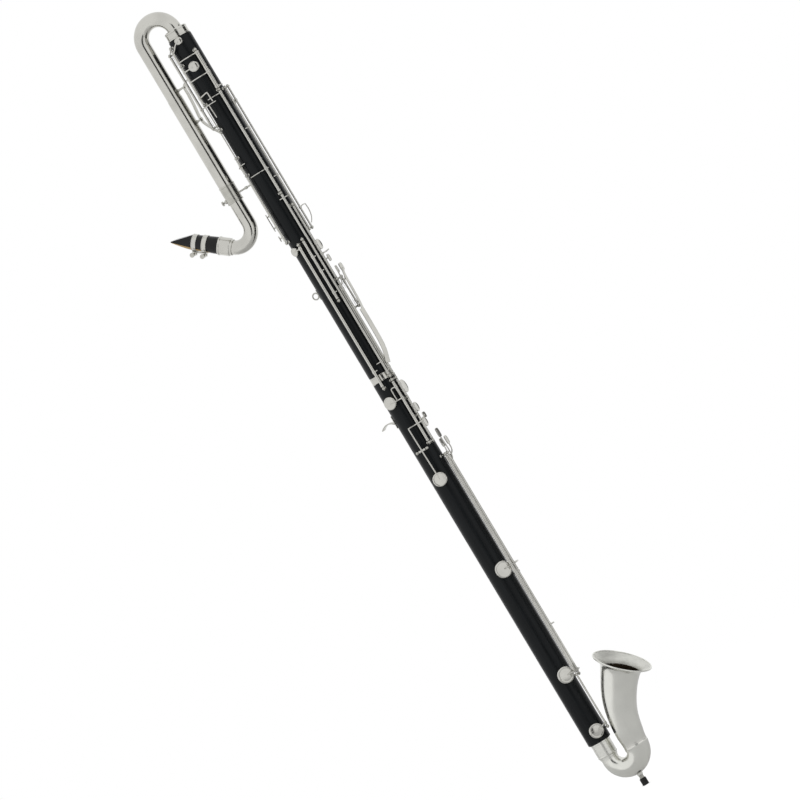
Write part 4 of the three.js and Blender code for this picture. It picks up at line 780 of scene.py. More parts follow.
class Shape:
    """Closed parts in millimetres, gathered into one piece."""

    def __init__(self, part=None, place=None):
        self.bm = bmesh.new()
        if part is not None:
            self.take(part, place)

    def take(self, part, place=None):
        mesh = meshed("part", part if place is None else placed(part, place))
        self.bm.from_mesh(mesh)
        bpy.data.meshes.remove(mesh)
        return self

    def finish(self, name, *nodes, body="body", slot="silver", look=None):
        """Turn the shape into a finished object that moves with its body and stands for its nodes."""
        bmesh.ops.scale(self.bm, vec=(MM, MM, MM), verts=self.bm.verts)
        for face in self.bm.faces:
            face.smooth = True
        for edge in self.bm.edges:
            edge.smooth = len(edge.link_faces) == 2 and edge.calc_face_angle() < SHARP
        mesh = meshed(name, self.bm)
        mesh.materials.append(dressed(look or slot))
        piece = linked(name, mesh)
        even = piece.modifiers.new("even shading", "WEIGHTED_NORMAL")
        even.keep_sharp = True
        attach(piece, body)
        if nodes:
            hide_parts(*nodes)


def turned_piece(name, node, profile, place=None, steps=96, soft=0.12, **kind):
    """A piece that is one profile spun round Z."""
    Shape(turned(profile, steps, soft), place).finish(name, node, **kind)


def carved(blank, cutters):
    """A part with other parts cut out of it."""
    objects = [linked("carving", meshed("carving", part)) for part in [blank, *cutters]]
    for cutter in objects[1:]:
        cut = objects[0].modifiers.new("cut", "BOOLEAN")
        cut.object = cutter
        cut.solver = "EXACT"
    result = bmesh.new()
    result.from_object(objects[0], bpy.context.evaluated_depsgraph_get())
    for made in objects:
        mesh = made.data
        bpy.data.objects.remove(made)
        bpy.data.meshes.remove(mesh)
    return result


class Way:
    """A path in the plane of the neck and bell, followed by its length."""

    def __init__(self, points):
        self.points = points
        self.lengths = [0.0]
        for here, there in zip(points, points[1:]):
            self.lengths.append(self.lengths[-1] + (there - here).length)

    def at(self, share, radius):
        """The station of a ring of that radius, a share of the way along."""
        reach = min(max(share, 0), 1) * self.lengths[-1]
        i = 1
        while i < len(self.points) - 1 and self.lengths[i] < reach:
            i += 1
        part = (reach - self.lengths[i - 1]) / (self.lengths[i] - self.lengths[i - 1])
        spot = self.points[i - 1].lerp(self.points[i], part)
        along = self.tangent(i - 1).lerp(self.tangent(i), part).normalized()
        across = Vector((0, 1, 0))
        return station(spot, along.cross(across), across, along, radius, radius)

    def tangent(self, i):
        ahead = self.points[min(i + 1, len(self.points) - 1)]
        return (ahead - self.points[max(i - 1, 0)]).normalized()


def bend(centre_x, centre_z, radius, start, stop, steps=48):
    """Points round a bend, its angles counted from +X towards +Z."""
    turns = [math.radians(start + (stop - start) * i / steps) for i in range(steps + 1)]
    return [in_plane(centre_x + radius * math.cos(t), centre_z + radius * math.sin(t)) for t in turns]


def straight(start, stop, steps, whole=False):
    """Points down a straight stretch, with its last one where it is the whole of the stretch."""
    first, last = in_plane(*start), in_plane(*stop)
    return [first.lerp(last, i / steps) for i in range(steps + whole)]


def piped(way, outer, inner, rings=90, sides=48, soft=0.3):
    """A pipe along a path. outer and inner give its radii at a share of the way."""
    shares = [i / rings for i in range(rings + 1)]
    stations = [way.at(share, outer(share)) for share in shares]
    stations += [way.at(share, inner(share)) for share in reversed(shares)]
    return soften(lofted([*stations, stations[0]], sides, loop=True), soft, angle=60)


def drawn_tube(name, node, points, radius, rings, **kind):
    """A piece that is a tube of even wall along a path."""
    made = piped(Way(points), lambda s: radius, lambda s: radius - NECK.wall, rings)
    Shape(made).finish(name, node, **kind)


def eased(table, share):
    """A smooth run through pairs of share and value."""
    slopes = [(q[1] - p[1]) / (q[0] - p[0]) for p, q in zip(table, table[1:])]
    lean = [slopes[0]]
    for before, after in zip(slopes, slopes[1:]):
        lean.append(2 * before * after / (before + after) if before * after > 0 else 0)
    lean.append(slopes[-1])
    i = 0
    while i < len(table) - 2 and share > table[i + 1][0]:
        i += 1
    (low, a), (high, b) = table[i], table[i + 1]
    span = high - low
    t = min(max((share - low) / span, 0), 1)
    rise = (b - a) * (3 - 2 * t) * t * t
    return a + rise + span * t * (1 - t) * (lean[i] * (1 - t) - lean[i + 1] * t)


def slotted_head(radius, height):
    """A screw head with a slot across it."""
    shape = Shape(disc(radius, 0, height * 0.55, SMALL, 0.15))
    edge = bpy.context.scene.clarinet_detail.screw_slot / MM / 2
    for side in (1, -1):
        half = disc(radius, height * 0.5, height, SMALL, 0.15)
        shape.take(closed(planed(half, (side * edge, 0, 0), (-side, 0, 0))))
    return shape.bm


def knurled(radius, height):
    """A thumb screw's head with a ridged edge."""
    part, sides = bmesh.new(), bpy.context.scene.clarinet_detail.knurls * 2
    for vert in bmesh.ops.create_circle(part, cap_ends=True, radius=radius, segments=sides)["verts"][::2]:
        vert.co *= 0.93
    return soften(closed(risen(part, height)), 0.25, angle=60)


def thumb_screw(name, node, shank, soft, place, size, reach):
    """A screw of one profile with a knurled head at its end."""
    shape = Shape(turned(shank, SMALL, soft), place)
    shape.take(knurled(size.head_radius, size.head), place @ Matrix.Translation((0, 0, reach - size.head)))
    shape.finish(name, node, body=node, slot="nickel")


# Body joints


def tone_holes():
    """Every chimney on the body: its angle, height and radius, from the cups and plates of the keys."""
    spots = [(FORK.angle, FORK.cup, CUPS.cross)]
    for row in KEYS.values():
        spots += [*row.cups, *row.plates]
    return [(angle, height_at(share), radius - CUP.rim * 2) for angle, share, radius in spots]


def joint(name, low, shoulder, top, edge, *mouth):
    """A black joint: tenon, wall, mouth and bore, its tone holes cut and raised chimneys round them."""
    radius, bore, tenon, chamfer = STACK.radius, STACK.bore, TENON.radius, STACK.chamfer
    shape, cutters, rise = Shape(), [], CUP.chimney
    for angle, height, wide in tone_holes():
        if not shoulder < height < mouth[-1][1]:
            continue
        way = wide * CUP.hole_share
        cutters.append(placed(disc(way, 0, radius, 40, 0), outward(angle, bore / 2, height)))
        root = math.sqrt(radius ** 2 - wide ** 2) - 1 - radius
        chimney = [
            (way, root), (wide, root), (wide, rise - 0.5), (wide - 0.5, rise), (way + 1.2, rise),
            (way, rise - 0.8), (way, root),
        ]
        shape.take(turned(chimney, 48, 0.12), outward(angle, radius, height))
    profile = [
        (bore, low), (tenon - 0.8, low), (tenon, low + 0.8), (tenon, shoulder), (radius - chamfer, shoulder),
        *run(radius, shoulder + chamfer, top - edge), (radius - edge, top), *mouth,
        *run(bore, mouth[-1][1] - 1, low),
    ]
    shape.take(carved(placed(turned(profile, 96, 0), upright(0)), cutters))
    shape.finish(name + "_resin", name, slot="black_body")


def joints():
    joint("upper_joint", TENON_FOOT, SEAM_HEIGHT, STACK_TOP, STACK.chamfer, (STACK.bore, STACK_TOP))
    top, floor = LOWER_TOP - SEAT_GAP, TENON_FOOT - SEAT_GAP
    mouth = [(SOCKET, top), (SOCKET, floor), (STACK.bore, floor)]
    joint("lower_joint", BELL_TENON_FOOT, STACK_FOOT, top, 0.6, *mouth)


def tenon_ring():
    """The ring round the seam: two beads with a flat between them."""
    wall = banded(WALL, WALL - 0.35, LOWER_TOP, SEAM_HEIGHT - SEAT_GAP, (0.5, 0.6), 2.6, 0.6)
    turned_piece("tenon_ring_plate", "tenon_ring", shell(SOCKET, *wall), upright(0), 96, 0.15)


def corks():
    """The wrapped tenon corks, with the shallow grooves that hold their grease."""
    outer, length = TENON.radius + TENON.cork_wall, TENON.cork_length
    for name, low in (("tenon_cork", TENON_FOOT), ("bell_tenon_cork", BELL_TENON_FOOT)):
        foot = low + (TENON.length - length) / 2
        wall = [(outer - 0.4, foot)]
        for i in range(3):
            ridge = foot + length * (i + 0.15) / 3
            wall += [(outer, ridge), (outer, ridge + 4), (outer - 0.3, ridge + 4.6)]
        profile = shell(TENON.radius + SEAT_GAP, *wall, (outer - 0.4, foot + length))
        turned_piece(name + "_sheet", name, profile, upright(0), ROUND, 0, slot="cork")


# Neck and crook

CLAMP_WALL = NECK.sleeve_radius + NECK.clamp_wall
CLAMP_LINE = upright(-NECK.drop, CLAMP_FOOT + CLAMP_SCREW.rise) @ BACKWARDS
CROOK_TURN = math.radians(-CROOK.turn)
CROOK_END = Vector((
    CROOK.radius * (math.cos(CROOK_TURN) - 1) - NECK.drop, 0, CROOK_CENTRE + CROOK.radius * math.sin(CROOK_TURN),
))
# Where the mouthpiece's axis starts, its x counted from the body's axis
CROOK_MOUTH = CROOK_END + Vector((math.sin(CROOK_TURN), 0, -math.cos(CROOK_TURN))) * (RECEIVER.lip + SEAT_GAP)


def neck_socket():
    low, top, hole, radius = STACK_TOP + SEAT_GAP, COLLAR_TOP, NECK.bow_radius + SEAT_GAP, COLLAR.radius
    profile = shell(
        STACK.bore, (radius - 0.4, low), (radius, low + 0.5), (radius, low + 3), (radius - 0.8, low + 3.5),
        (radius - 0.8, top - 6), (radius - 0.2, top - 5.4), (radius - 0.2, top - COLLAR.chamfer),
        (radius - COLLAR.chamfer, top - 0.4), (hole + 0.6, top), (hole, top - 0.6),
        (hole, top - NECK.socket_depth),
    )
    turned_piece("neck_socket_plate", "neck_socket", profile, upright(0), 96, 0.15)


def neck_bow():
    """The tube over the top of the body: straight legs and a half-round bend."""
    back = -NECK.drop
    points = straight((0, COLLAR_TOP - NECK.socket_depth + SEAT_GAP), (0, COLLAR_TOP), 4)
    points += bend(back / 2, COLLAR_TOP, NECK.drop / 2, 0, 180)[:-1]
    points += straight((back, COLLAR_TOP), (back, SLEEVE_TOP - NECK.socket_depth), 8, True)
    drawn_tube("neck_bow_tube", "neck_bow", points, NECK.bow_radius, 120)


def neck_sleeve():
    """The drawn sleeve down the back, rounded in at its mouth."""
    outer, low, top = NECK.sleeve_radius, SLEEVE_FOOT, SLEEVE_TOP
    profile = shell(
        NECK.bow_radius + SEAT_GAP, (outer, low), *run(outer, low + 1, top - 5), (outer, top - 0.4),
        (outer - 0.3, top),
    )
    turned_piece("neck_sleeve_tube", "neck_sleeve", profile, upright(-NECK.drop), ROUND, 0)


def neck_receiver():
    """The split clamp at the sleeve's foot, with the boss that its screw runs in."""
    inner, outer, wide = NECK.crook_radius + SEAT_GAP, CLAMP_WALL, NECK.sleeve_radius + SEAT_GAP
    top = SLEEVE_FOOT + NECK.clamp_lap
    wall = banded(outer, outer - 0.7, CLAMP_FOOT, top, (0.3, 0.4), 3.4, 0.6)
    profile = shell(inner, *wall, (wide, top), (wide, SLEEVE_FOOT - SEAT_GAP))
    shape = Shape(turned(profile, ROUND, 0.12), upright(-NECK.drop))
    reach, boss, low = outer + CLAMP_SCREW.boss_reach, CLAMP_SCREW.boss, inner + 0.6
    profile = shell(CLAMP_SCREW.radius + SEAT_GAP, (boss, low), (boss, reach - 0.6), (boss - 0.6, reach))
    shape.take(turned(profile, SMALL, 0.1), CLAMP_LINE)
    shape.finish("neck_receiver_clamp", "neck_receiver", slot="nickel")


def clamp_screw():
    radius, start = CLAMP_SCREW.radius, NECK.crook_radius + SEAT_GAP * 2
    end = CLAMP_WALL + CLAMP_SCREW.boss_reach + SEAT_GAP + CLAMP_SCREW.reach
    shank, thread = [(0, start), (radius - 0.5, start)], start + 0.6
    while thread < end - CLAMP_SCREW.head - 2:
        shank += [(radius, thread), (radius - 0.35, thread + 0.5)]
        thread += 1
    shank += [(radius - 0.2, end - 1), (0, end - 1)]
    thumb_screw("neck_clamp_thumb_screw", "neck_clamp_screw", shank, 0, CLAMP_LINE, CLAMP_SCREW, end)


def crook():
    back, end, mouth = -NECK.drop, CROOK_END, CROOK_MOUTH
    points = straight((back, CLAMP_FOOT + NECK.crook_in), (back, CROOK_CENTRE), 6)
    points += bend(back - CROOK.radius, CROOK_CENTRE, CROOK.radius, 0, -CROOK.turn)[:-1]
    points += straight((end.x, end.z), (mouth.x, mouth.z), 2, True)
    drawn_tube("crook_tube", "crook", points, NECK.crook_radius, 100, body="crook")


# The brace's bends: how far out from the body and down its own height they are, as shares
BRACE_BENDS = [
    (0, 0), (0.32, 0.02), (0.53, 0.07), (0.56, 0.2), (0.6, 0.38), (0.68, 0.6), (0.62, 0.7), (0.3, 0.87),
    (0.1, 0.95), (0, 1),
]


def neck_brace():
    """The bent strap from the body to the neck, with the two studs that reach the tube."""
    inner, stud = WALL + BRACE.thickness / 2, BRACE.stud
    stand_off, heights = NECK.drop - NECK.sleeve_radius - STACK.radius, BRACE_HEIGHTS
    points = [
        in_plane(-inner - out * stand_off, height_at(heights.top + (heights.foot - heights.top) * down))
        for out, down in BRACE_BENDS
    ]
    back = Vector((-1, 0, 0))
    shape = Shape(strip(smooth_way(points, 10), BRACE.width, BRACE.thickness, lambda spot: back, 0.5))
    studs = [(heights.upper_stud, 0.5, NECK.bow_radius), (heights.lower_stud, 0.6, NECK.sleeve_radius)]
    for share, out, tube_radius in studs:
        start, end = inner + out * stand_off - 1, NECK.drop - tube_radius - SEAT_GAP
        profile = [
            (0, start), (stud + 1, start), (stud + 1, start + 1.6), (stud, start + 2.2),
            (stud - 0.5, (start + end) / 2), (stud, end - 2.4), (stud + 1.2, end - 1), (stud + 1.2, end),
            (0, end),
        ]
        shape.take(turned(profile, SMALL, 0.2), upright(0, height_at(share)) @ BACKWARDS)
    shape.finish("neck_brace_strap", "neck_brace", slot="nickel")


def body_bumper():
    """The turned post that keeps the crook off the body, with a knob at its middle."""
    reach, radius, knob = NECK.drop - CLAMP_WALL - SEAT_GAP, BUMPER.radius, BUMPER.knob
    middle = (WALL + reach) / 2
    profile = [
        (0, WALL), (radius + 1.4, WALL), (radius + 1.4, WALL + 0.8), (radius, WALL + 1.6),
        (radius, middle - knob), (knob - 0.6, middle - knob + 0.4), (knob, middle - 1.6),
        (knob, middle + 1.6), (knob - 0.6, middle + knob - 0.4), (radius, middle + knob),
        (radius, reach - 0.4), (radius - 0.4, reach), (0, reach),
    ]
    place = upright(0, CLAMP_FOOT + BUMPER.rise) @ BACKWARDS
    turned_piece("body_bumper_post", "body_bumper", profile, place, SMALL, 0.15, slot="nickel")


# Mouthpiece end, along a tilted axis from the crook's mouth

MOUTH_START = RECEIVER.length + SEAT_GAP
MOUTH_TIP = MOUTH_START + MOUTH.length
MOUTH_FOOT = MOUTH_START - RECEIVER.depth + SEAT_GAP
BEAK_FOOT = MOUTH_START + MOUTH.beak_start
MOUTH_FRAME = upright(CROOK_MOUTH.x, CROOK_MOUTH.z) @ Matrix.Rotation(-CROOK_TURN - math.pi, 4, "Y")


def mouth_radius(above):
    """The mouthpiece's radius a distance above its shoulder."""
    return MOUTH.radius + (MOUTH.end_radius - MOUTH.radius) * min(above / MOUTH.beak_start, 1)


def table_at(height):
    """How far the mouthpiece's flat table lies from its axis."""
    share = (height - MOUTH_START - REED.start) / (MOUTH.length - REED.start)
    return -MOUTH.table_offset + (MOUTH.table_offset - MOUTH.tip_offset - MOUTH.tip_wall) * share


def mouthpiece_receiver():
    inner, length = NECK.crook_radius + SEAT_GAP, RECEIVER.length
    socket, bead = MOUTH.tenon_radius + MOUTH.cork_wall + SEAT_GAP, length - RECEIVER.bead
    radius, wide, lip, foot = RECEIVER.radius, RECEIVER.bead_radius, inner + RECEIVER.lip_wall, -RECEIVER.lip
    profile = shell(
        inner, (lip - 0.5, foot), (lip, foot + 0.6), (lip, 0), (radius - 0.8, 1.2),
        (radius, RECEIVER.lip / 2 + 0.6), (radius, bead - 0.8), (wide - 0.3, bead), (wide, bead + 1),
        (wide, length - 0.8), (wide - 0.7, length), (socket + 0.4, length), (socket, length - 0.5),
        (socket, length - RECEIVER.depth),
    )
    turned_piece(
        "mouthpiece_receiver_plate", "mouthpiece_receiver", profile, MOUTH_FRAME, 80, body="crook",
    )


def mouthpiece():
    """The beak, table, window and bore, with a turned ring at the shoulder."""
    foot, start, tip, tenon, end = MOUTH_FOOT, MOUTH_START, MOUTH_TIP, MOUTH.tenon_radius, MOUTH.end_radius
    blank = turned([
        (0, foot), (tenon - 0.6, foot), (tenon, foot + 0.6), (tenon, start), (MOUTH.radius - 0.6, start),
        (MOUTH.radius, start + 0.6), (mouth_radius(5), start + 5), (mouth_radius(6) - 0.4, start + 5.6),
        (mouth_radius(6), start + 6.2), *((mouth_radius(above), start + above) for above in range(12, 103, 6)),
        (end, tip), (0, tip),
    ], 96, 0)
    planed(blank, (end, 0, BEAK_FOOT), Vector((tip - BEAK_FOOT, 0, end + MOUTH.tip_offset)).normalized())
    far, low = MOUTH.radius + 2, start + REED.start
    table = block((-far * 2, -far, low), (0, far, tip + 20), 0)
    shear = Matrix.Identity(4)
    shear[0][2] = (table_at(tip) - table_at(low)) / (tip - low)
    shear[0][3] = table_at(low) - shear[0][2] * low
    bore = disc(MOUTH.bore, foot - 2, start + MOUTH.window_start, 48, 0)
    half, low = MOUTH.window / 2, start + MOUTH.window_start - 2
    window = block((-far, -half, low), (table_at(low) + 6, half, tip - MOUTH.window_end), 0)
    made = carved(blank, [placed(table, shear), bore, window])
    Shape(made, MOUTH_FRAME).finish("mouthpiece_ebonite", "mouthpiece", body="crook", slot="ebonite")


def mouthpiece_cork():
    inner, foot, top = MOUTH.tenon_radius, MOUTH_FOOT + 2, MOUTH_START - 4
    profile = shell(inner + SEAT_GAP, (inner + MOUTH.cork_wall, foot), (inner + MOUTH.cork_wall, top))
    turned_piece(
        "mouthpiece_cork_sheet", "mouthpiece_cork", profile, MOUTH_FRAME, ROUND, 0.25, body="crook", slot="cork",
    )


def reed():
    """A reed blade: a rounded back with its bark, then the vamp scraped down to the tip."""
    foot, tip = MOUTH_START + REED.start + SEAT_GAP, MOUTH_TIP - REED.tip_short
    rim, end = mouth_radius(REED.start) - REED.set_in, MOUTH.end_radius - REED.set_in
    vamp = tip - REED.vamp
    blank = turned([(0, foot), (rim, foot), (end, BEAK_FOOT), (end, tip), (0, tip)], 96, 0)
    lean = (table_at(tip) - table_at(foot)) / (tip - foot)
    planed(blank, (table_at(foot) - SEAT_GAP, 0, foot), Vector((1, 0, -lean)).normalized())
    slope = (table_at(tip) - SEAT_GAP - REED.tip + MOUTH.end_radius) / (tip - vamp)
    planed(blank, (-MOUTH.end_radius, 0, vamp), Vector((-1, 0, slope)).normalized())
    Shape(soften(blank, 0.15, 40), MOUTH_FRAME).finish("reed_blade", "reed", body="crook", slot="cane")


BAND_RADII = [mouth_radius(above - BAND.width / 2) + SEAT_GAP for above in (BAND.first, BAND.second)]
BAND_OUT = BAND_RADII[0] + BAND.wall


def ligature():
    """Two bands with rolled edges, the plate that joins them, and a pair of lugs for each screw."""
    half, least = BAND.width / 2, BAND_RADII[1] + BAND.wall - SEAT_GAP
    reach, wide, tall = BAND_OUT + LUG.reach + LIGATURE_SCREW.radius, LUG.width / 2, LUG.height / 2
    shape = Shape()
    for above, inner in zip((BAND.first, BAND.second), BAND_RADII):
        middle, outer = MOUTH_START + above, inner + BAND.wall
        wall = banded(outer, outer - 0.4, middle - half, middle + half, (0.2, 0.4), 1.4, 0.5)
        shape.take(turned(shell(inner, *wall), 80, 0.1), MOUTH_FRAME)
        for y in (-LUG.offset, LUG.offset):
            lug = block((-reach, y - wide, middle - tall), (-least, y + wide, middle + tall), 1.1)
            shape.take(lug, MOUTH_FRAME)
    low, high, wide = MOUTH_START + BAND.first - half, MOUTH_START + BAND.second + half, BAND.bridge_width / 2
    shape.take(block((-BAND_OUT - BAND.bridge, -wide, low), (-least, wide, high), 0.8), MOUTH_FRAME)
    shape.finish("ligature_bands", "ligature", body="crook")


def ligature_screws():
    """The thumb screws through each pair of lugs."""
    radius, end = LIGATURE_SCREW.radius, LUG.offset + LUG.width / 2
    reach = end + LIGATURE_SCREW.reach
    shank = [
        (0, -end), (radius - 0.4, -end), (radius, -end + 0.5), (radius, reach - 7), (radius + 0.9, reach - 6.4),
        (radius + 0.9, reach - 4), (radius + 0.2, reach - 3), (0, reach - 1),
    ]
    for number, above in ((1, BAND.first), (2, BAND.second)):
        spot = (-(BAND_OUT + LUG.reach / 2 + radius), 0, MOUTH_START + above)
        place = MOUTH_FRAME @ Matrix.Translation(spot) @ Matrix.Rotation(math.pi / 2, 4, "X")
        name = f"ligature_screw_{number}"
        thumb_screw(name + "_thumb", name, shank, 0.1, place, LIGATURE_SCREW, reach)


# Bell end


def bell_ferrule():
    inner, low, wall = BOW.start_radius + SEAT_GAP, FERRULE_FOOT - FERRULE.lip, BOW.wall
    top, foot, radius = STACK_FOOT - SEAT_GAP, FERRULE_FOOT, FERRULE.radius
    profile = shell(
        inner, (inner + wall - 0.4, low), (inner + wall, low + 0.5), (inner + wall, foot - 1),
        (radius - 0.6, foot + 0.6), (radius, foot + 1.4), (radius, foot + 3), (radius - 0.6, foot + 3.6),
        (radius - 0.6, top - 4), (radius, top - 3.4), (radius, top - 0.5), (radius - 0.5, top), (SOCKET, top),
        (SOCKET, BELL_TENON_FOOT - SEAT_GAP * 2),
    )
    turned_piece("bell_ferrule_plate", "bell_ferrule", profile, upright(0), look="bell")


# The bow's radius at shares of its way: even through the ferrule, then swelling towards the bell
BOW_RADII = [(0, BOW.start_radius), (0.1, BOW.start_radius), (0.3, 21.1), (0.6, 23.9), (1, BOW.end_radius)]


def bell_bow():
    """The bow under the body, with the low crowned ring that covers its seam with the bell."""
    floor = BOW_FLOOR + BOW.bend
    points = straight((0, FERRULE_FOOT + FERRULE.lip), (0, floor), 3) + bend(BOW.bend, floor, BOW.bend, 180, 360)
    shape = Shape(piped(
        Way(points), lambda s: eased(BOW_RADII, s), lambda s: eased(BOW_RADII, s) - BOW.wall, 72, 72,
    ))
    inner, half, crown = BOW.end_radius + SEAT_GAP, SEAM_RING.height / 2, SEAM_RING.wall * 0.12
    wall = [(inner + crown * (1 - t * t), half * t) for t in (-1, -0.7, -0.35, 0, 0.35, 0.7, 1)]
    profile = shell(inner - 0.9, *wall, (inner, -0.4))
    shape.take(turned(profile, 96, 0), upright(2 * BOW.bend, floor))
    shape.finish("bell_bow_tube", "bell_bow", look="bell")


# How the bell opens, as shares of its way and of the growth to its throat, then from its throat to its rim
BELL_BODY = [(0, 0), (0.03, 0), (0.16, 0.18), (0.35, 0.36), (0.6, 0.66), (0.8, 0.86), (0.89, 1)]
BELL_FLARE = [(0.93, 0.12), (0.96, 0.33), (0.983, 0.66), (1, 1)]
# Thin layers inside its wall: the stretch of the way's points, the gaps to the wall, rings, sides and look
BELL_LAYERS = {
    # The bore layer's dark brown finish is painted shade inside the tube
    "bell_bore": (slice(0, 88), (0.05, 0.35), 60, 72, "bore"),
    "bell_mouth": (slice(86, None), (0.02, 0.3), 24, 96, "frosted"),
}


def bell():
    """The flare: a smooth run up to the throat, then out to a rolled rim, with its bore and mouth."""
    x, z, lean = 2 * BOW.bend, BOW_FLOOR + BOW.bend, math.radians(BELL.tilt)
    end = in_plane(x + BELL.reach, z + BELL.rise)
    last = end - Vector((math.cos(lean), 0, math.sin(lean))) * BELL.last_pull
    way = Way(interpolate_bezier(in_plane(x, z + SEAT_GAP), in_plane(x, z + BELL.first_pull), last, end, 96))
    table = [(s, BOW.end_radius + (BELL.throat - BOW.end_radius) * g) for s, g in BELL_BODY]
    table += [(s, BELL.throat + (BELL.rim - BELL.throat) * g) for s, g in BELL_FLARE]
    shape = Shape(piped(way, lambda s: eased(table, s), lambda s: eased(table, s) - BELL.wall, 140, 96))
    for name, (stretch, gaps, rings, sides, look) in BELL_LAYERS.items():
        part = Way(way.points[stretch])
        span = part.lengths[-1] / way.lengths[-1]
        first = 1 - span if stretch.start else 0
        walls = [lambda s, gap=gap: eased(table, first + s * span) - BELL.wall - gap for gap in gaps]
        Shape(piped(part, *walls, rings, sides, 0)).finish(name, look=look)
    rim = Matrix.Translation(end) @ Matrix.Rotation(math.pi / 2 - lean, 4, "Y")
    shape.take(ring(BELL.rim, BELL.bead, 120), rim)
    shape.finish("bell_flare", "bell", look="bell")


def peg_socket():
    """The turned foot under the bow that holds the floor peg."""
    low, radius = FOOT.tip + FOOT.show, PEG_SOCKET.radius
    profile = shell(
        PEG_SOCKET.shank_radius + SEAT_GAP, (radius - 1.2, low), (radius - 0.6, low + 0.6),
        (radius - 0.6, low + 1.6), (radius, low + 2.2), (radius, low + 7.5),
    )
    turned_piece("peg_socket_foot", "peg_socket", profile, steps=48, look="bell")


def floor_peg():
    """The peg's rod and its ribbed rubber tip."""
    low, high, rod, shank = FOOT.tip, FOOT.tip + FOOT.show - SEAT_GAP, FOOT.rod_radius, PEG_SOCKET.shank_radius
    top = high + PEG_SOCKET.height - SEAT_GAP
    profile = [
        (0, low + SEAT_GAP), (rod - 0.3, low + SEAT_GAP), (rod, low + 0.7), (rod, low + 2.6),
        (rod - 0.6, low + 3.1), (rod - 0.6, high - 1.4), (rod, high - 0.8), (rod - 0.3, high), (shank, high),
        (shank, top), (0, top),
    ]
    turned_piece("peg_rod_metal", "peg_rod", profile, None, 48, 0.1, body="peg", slot="nickel")
    radius, chamfer = FOOT.tip_radius, FOOT.chamfer
    profile = [(0, 0), (radius - chamfer, 0), (radius, chamfer)]
    for groove in (3.4, 6.4, 9.4, 12.4):
        deep = radius - 0.5
        profile += [(radius, groove), (deep, groove + 0.5), (deep, groove + 1), (radius, groove + 1.5)]
    profile += [(radius, low - chamfer), (radius - chamfer, low), (0, low)]
    turned_piece("peg_tip_rubber", "peg_tip", profile, None, 48, 0.15, body="peg", slot="rubber")


# Strap ring and thumb hook


def back_plate(size, thickness, z, soft, screw, spread):
    """A plate bent to the round of the body's back, with the two slotted screws that hold it."""
    half, part = math.asin(size.width / 2 / (WALL + thickness)), bmesh.new()
    place = Matrix.Rotation(-half, 4, "Z") @ Matrix.Translation((-WALL - thickness / 2, 0, z))
    place = place @ Matrix.Rotation(math.pi / 2, 4, "X") @ Matrix.Diagonal((thickness, size.height, 1, 1))
    bmesh.ops.create_grid(part, x_segments=1, y_segments=1, size=0.5, matrix=place)
    shape = Shape(soften(spun(part, 16, half * 2), soft, angle=60), upright(0))
    for height in (z - spread, z + spread):
        shape.take(slotted_head(screw, 1.1), upright(-WALL - thickness + 0.3, height) @ BACKWARDS)
    return shape


def strap_ring():
    z = height_at(STRAP_RING_HEIGHT)
    shape = back_plate(STRAP_RING, STRAP_RING.plate, z, 0.5, 1.9, 8.6)
    reach = WALL + STRAP_RING.plate / 2 + STRAP_RING.radius + STRAP_RING.wire
    loop = upright(-reach, z) @ Matrix.Rotation(math.pi / 2, 4, "X")
    shape.take(ring(STRAP_RING.radius, STRAP_RING.wire, 48), loop)
    shape.finish("strap_ring_loop", "strap_ring", slot="nickel")


def thumb_hook():
    """The hook's curved rest on its plate."""
    z, thickness = height_at(THUMB_HOOK_HEIGHT), HOOK.thickness
    shape = back_plate(HOOK, thickness, z, 0.6, 2.2, 11)
    a, b, c = [in_plane(-WALL - out, z + rise) for out, rise in (
        (thickness / 2, -HOOK.rise / 2), (HOOK.reach / 2, HOOK.rise * 1.4), (HOOK.reach, -HOOK.rise / 2),
    )]
    way = [a.lerp(b, t / 24).lerp(b.lerp(c, t / 24), t / 24) for t in range(25)]
    shape.take(strip(way, HOOK.width, thickness, lambda spot: Vector((0, 0, 1)), 0.7))
    shape.finish("thumb_hook_rest", "thumb_hook", slot="nickel")


# Posts and the hinge steels between them


def line_place(angle, out, height=0.0):
    """Puts a part that points along Z on a hinge line."""
    return Matrix.Translation(polar(angle, out, height))


def ball(rise, start):
    """Points up a post's ball, from an angle below its middle."""
    turns = [math.radians(turn) for turn in range(start, 90, 15)]
    return [(POST.ball * math.cos(t), rise + POST.ball * math.sin(t)) for t in turns] + [(0, rise + POST.ball)]


def post(angle, height, out):
    """A turned post: a flanged foot, a stem and a ball."""
    rise, foot, stem = out - WALL, POST.foot, POST.stem
    profile = [
        (0, 0), (foot, 0), (foot, 0.6), (foot - 0.7, 1.2), (stem + 0.5, 1.8), (stem, 2.8),
        (stem - 0.15, rise - POST.ball - 1), (stem + 0.2, rise - POST.ball), *ball(rise, -60),
    ]
    return placed(turned(profile, SMALL, 0), outward(angle, WALL, height))


def spring(angle, out, share, reach):
    """A needle spring from a post, lying between its key's tube and the body."""
    foot, away, wire = height_at(share), out - TUBES.slim - 2.2, bpy.context.scene.clarinet_detail.spring_wire / MM
    spots = [(away, 0), (away, 9), (away, 18), (away + 0.9, 27)]
    way = smooth_way([polar(angle, distance, foot + reach * up) for distance, up in spots], 4)
    return bar(way, wire, sides=8, swell=lambda s: 1 - s * 0.45)


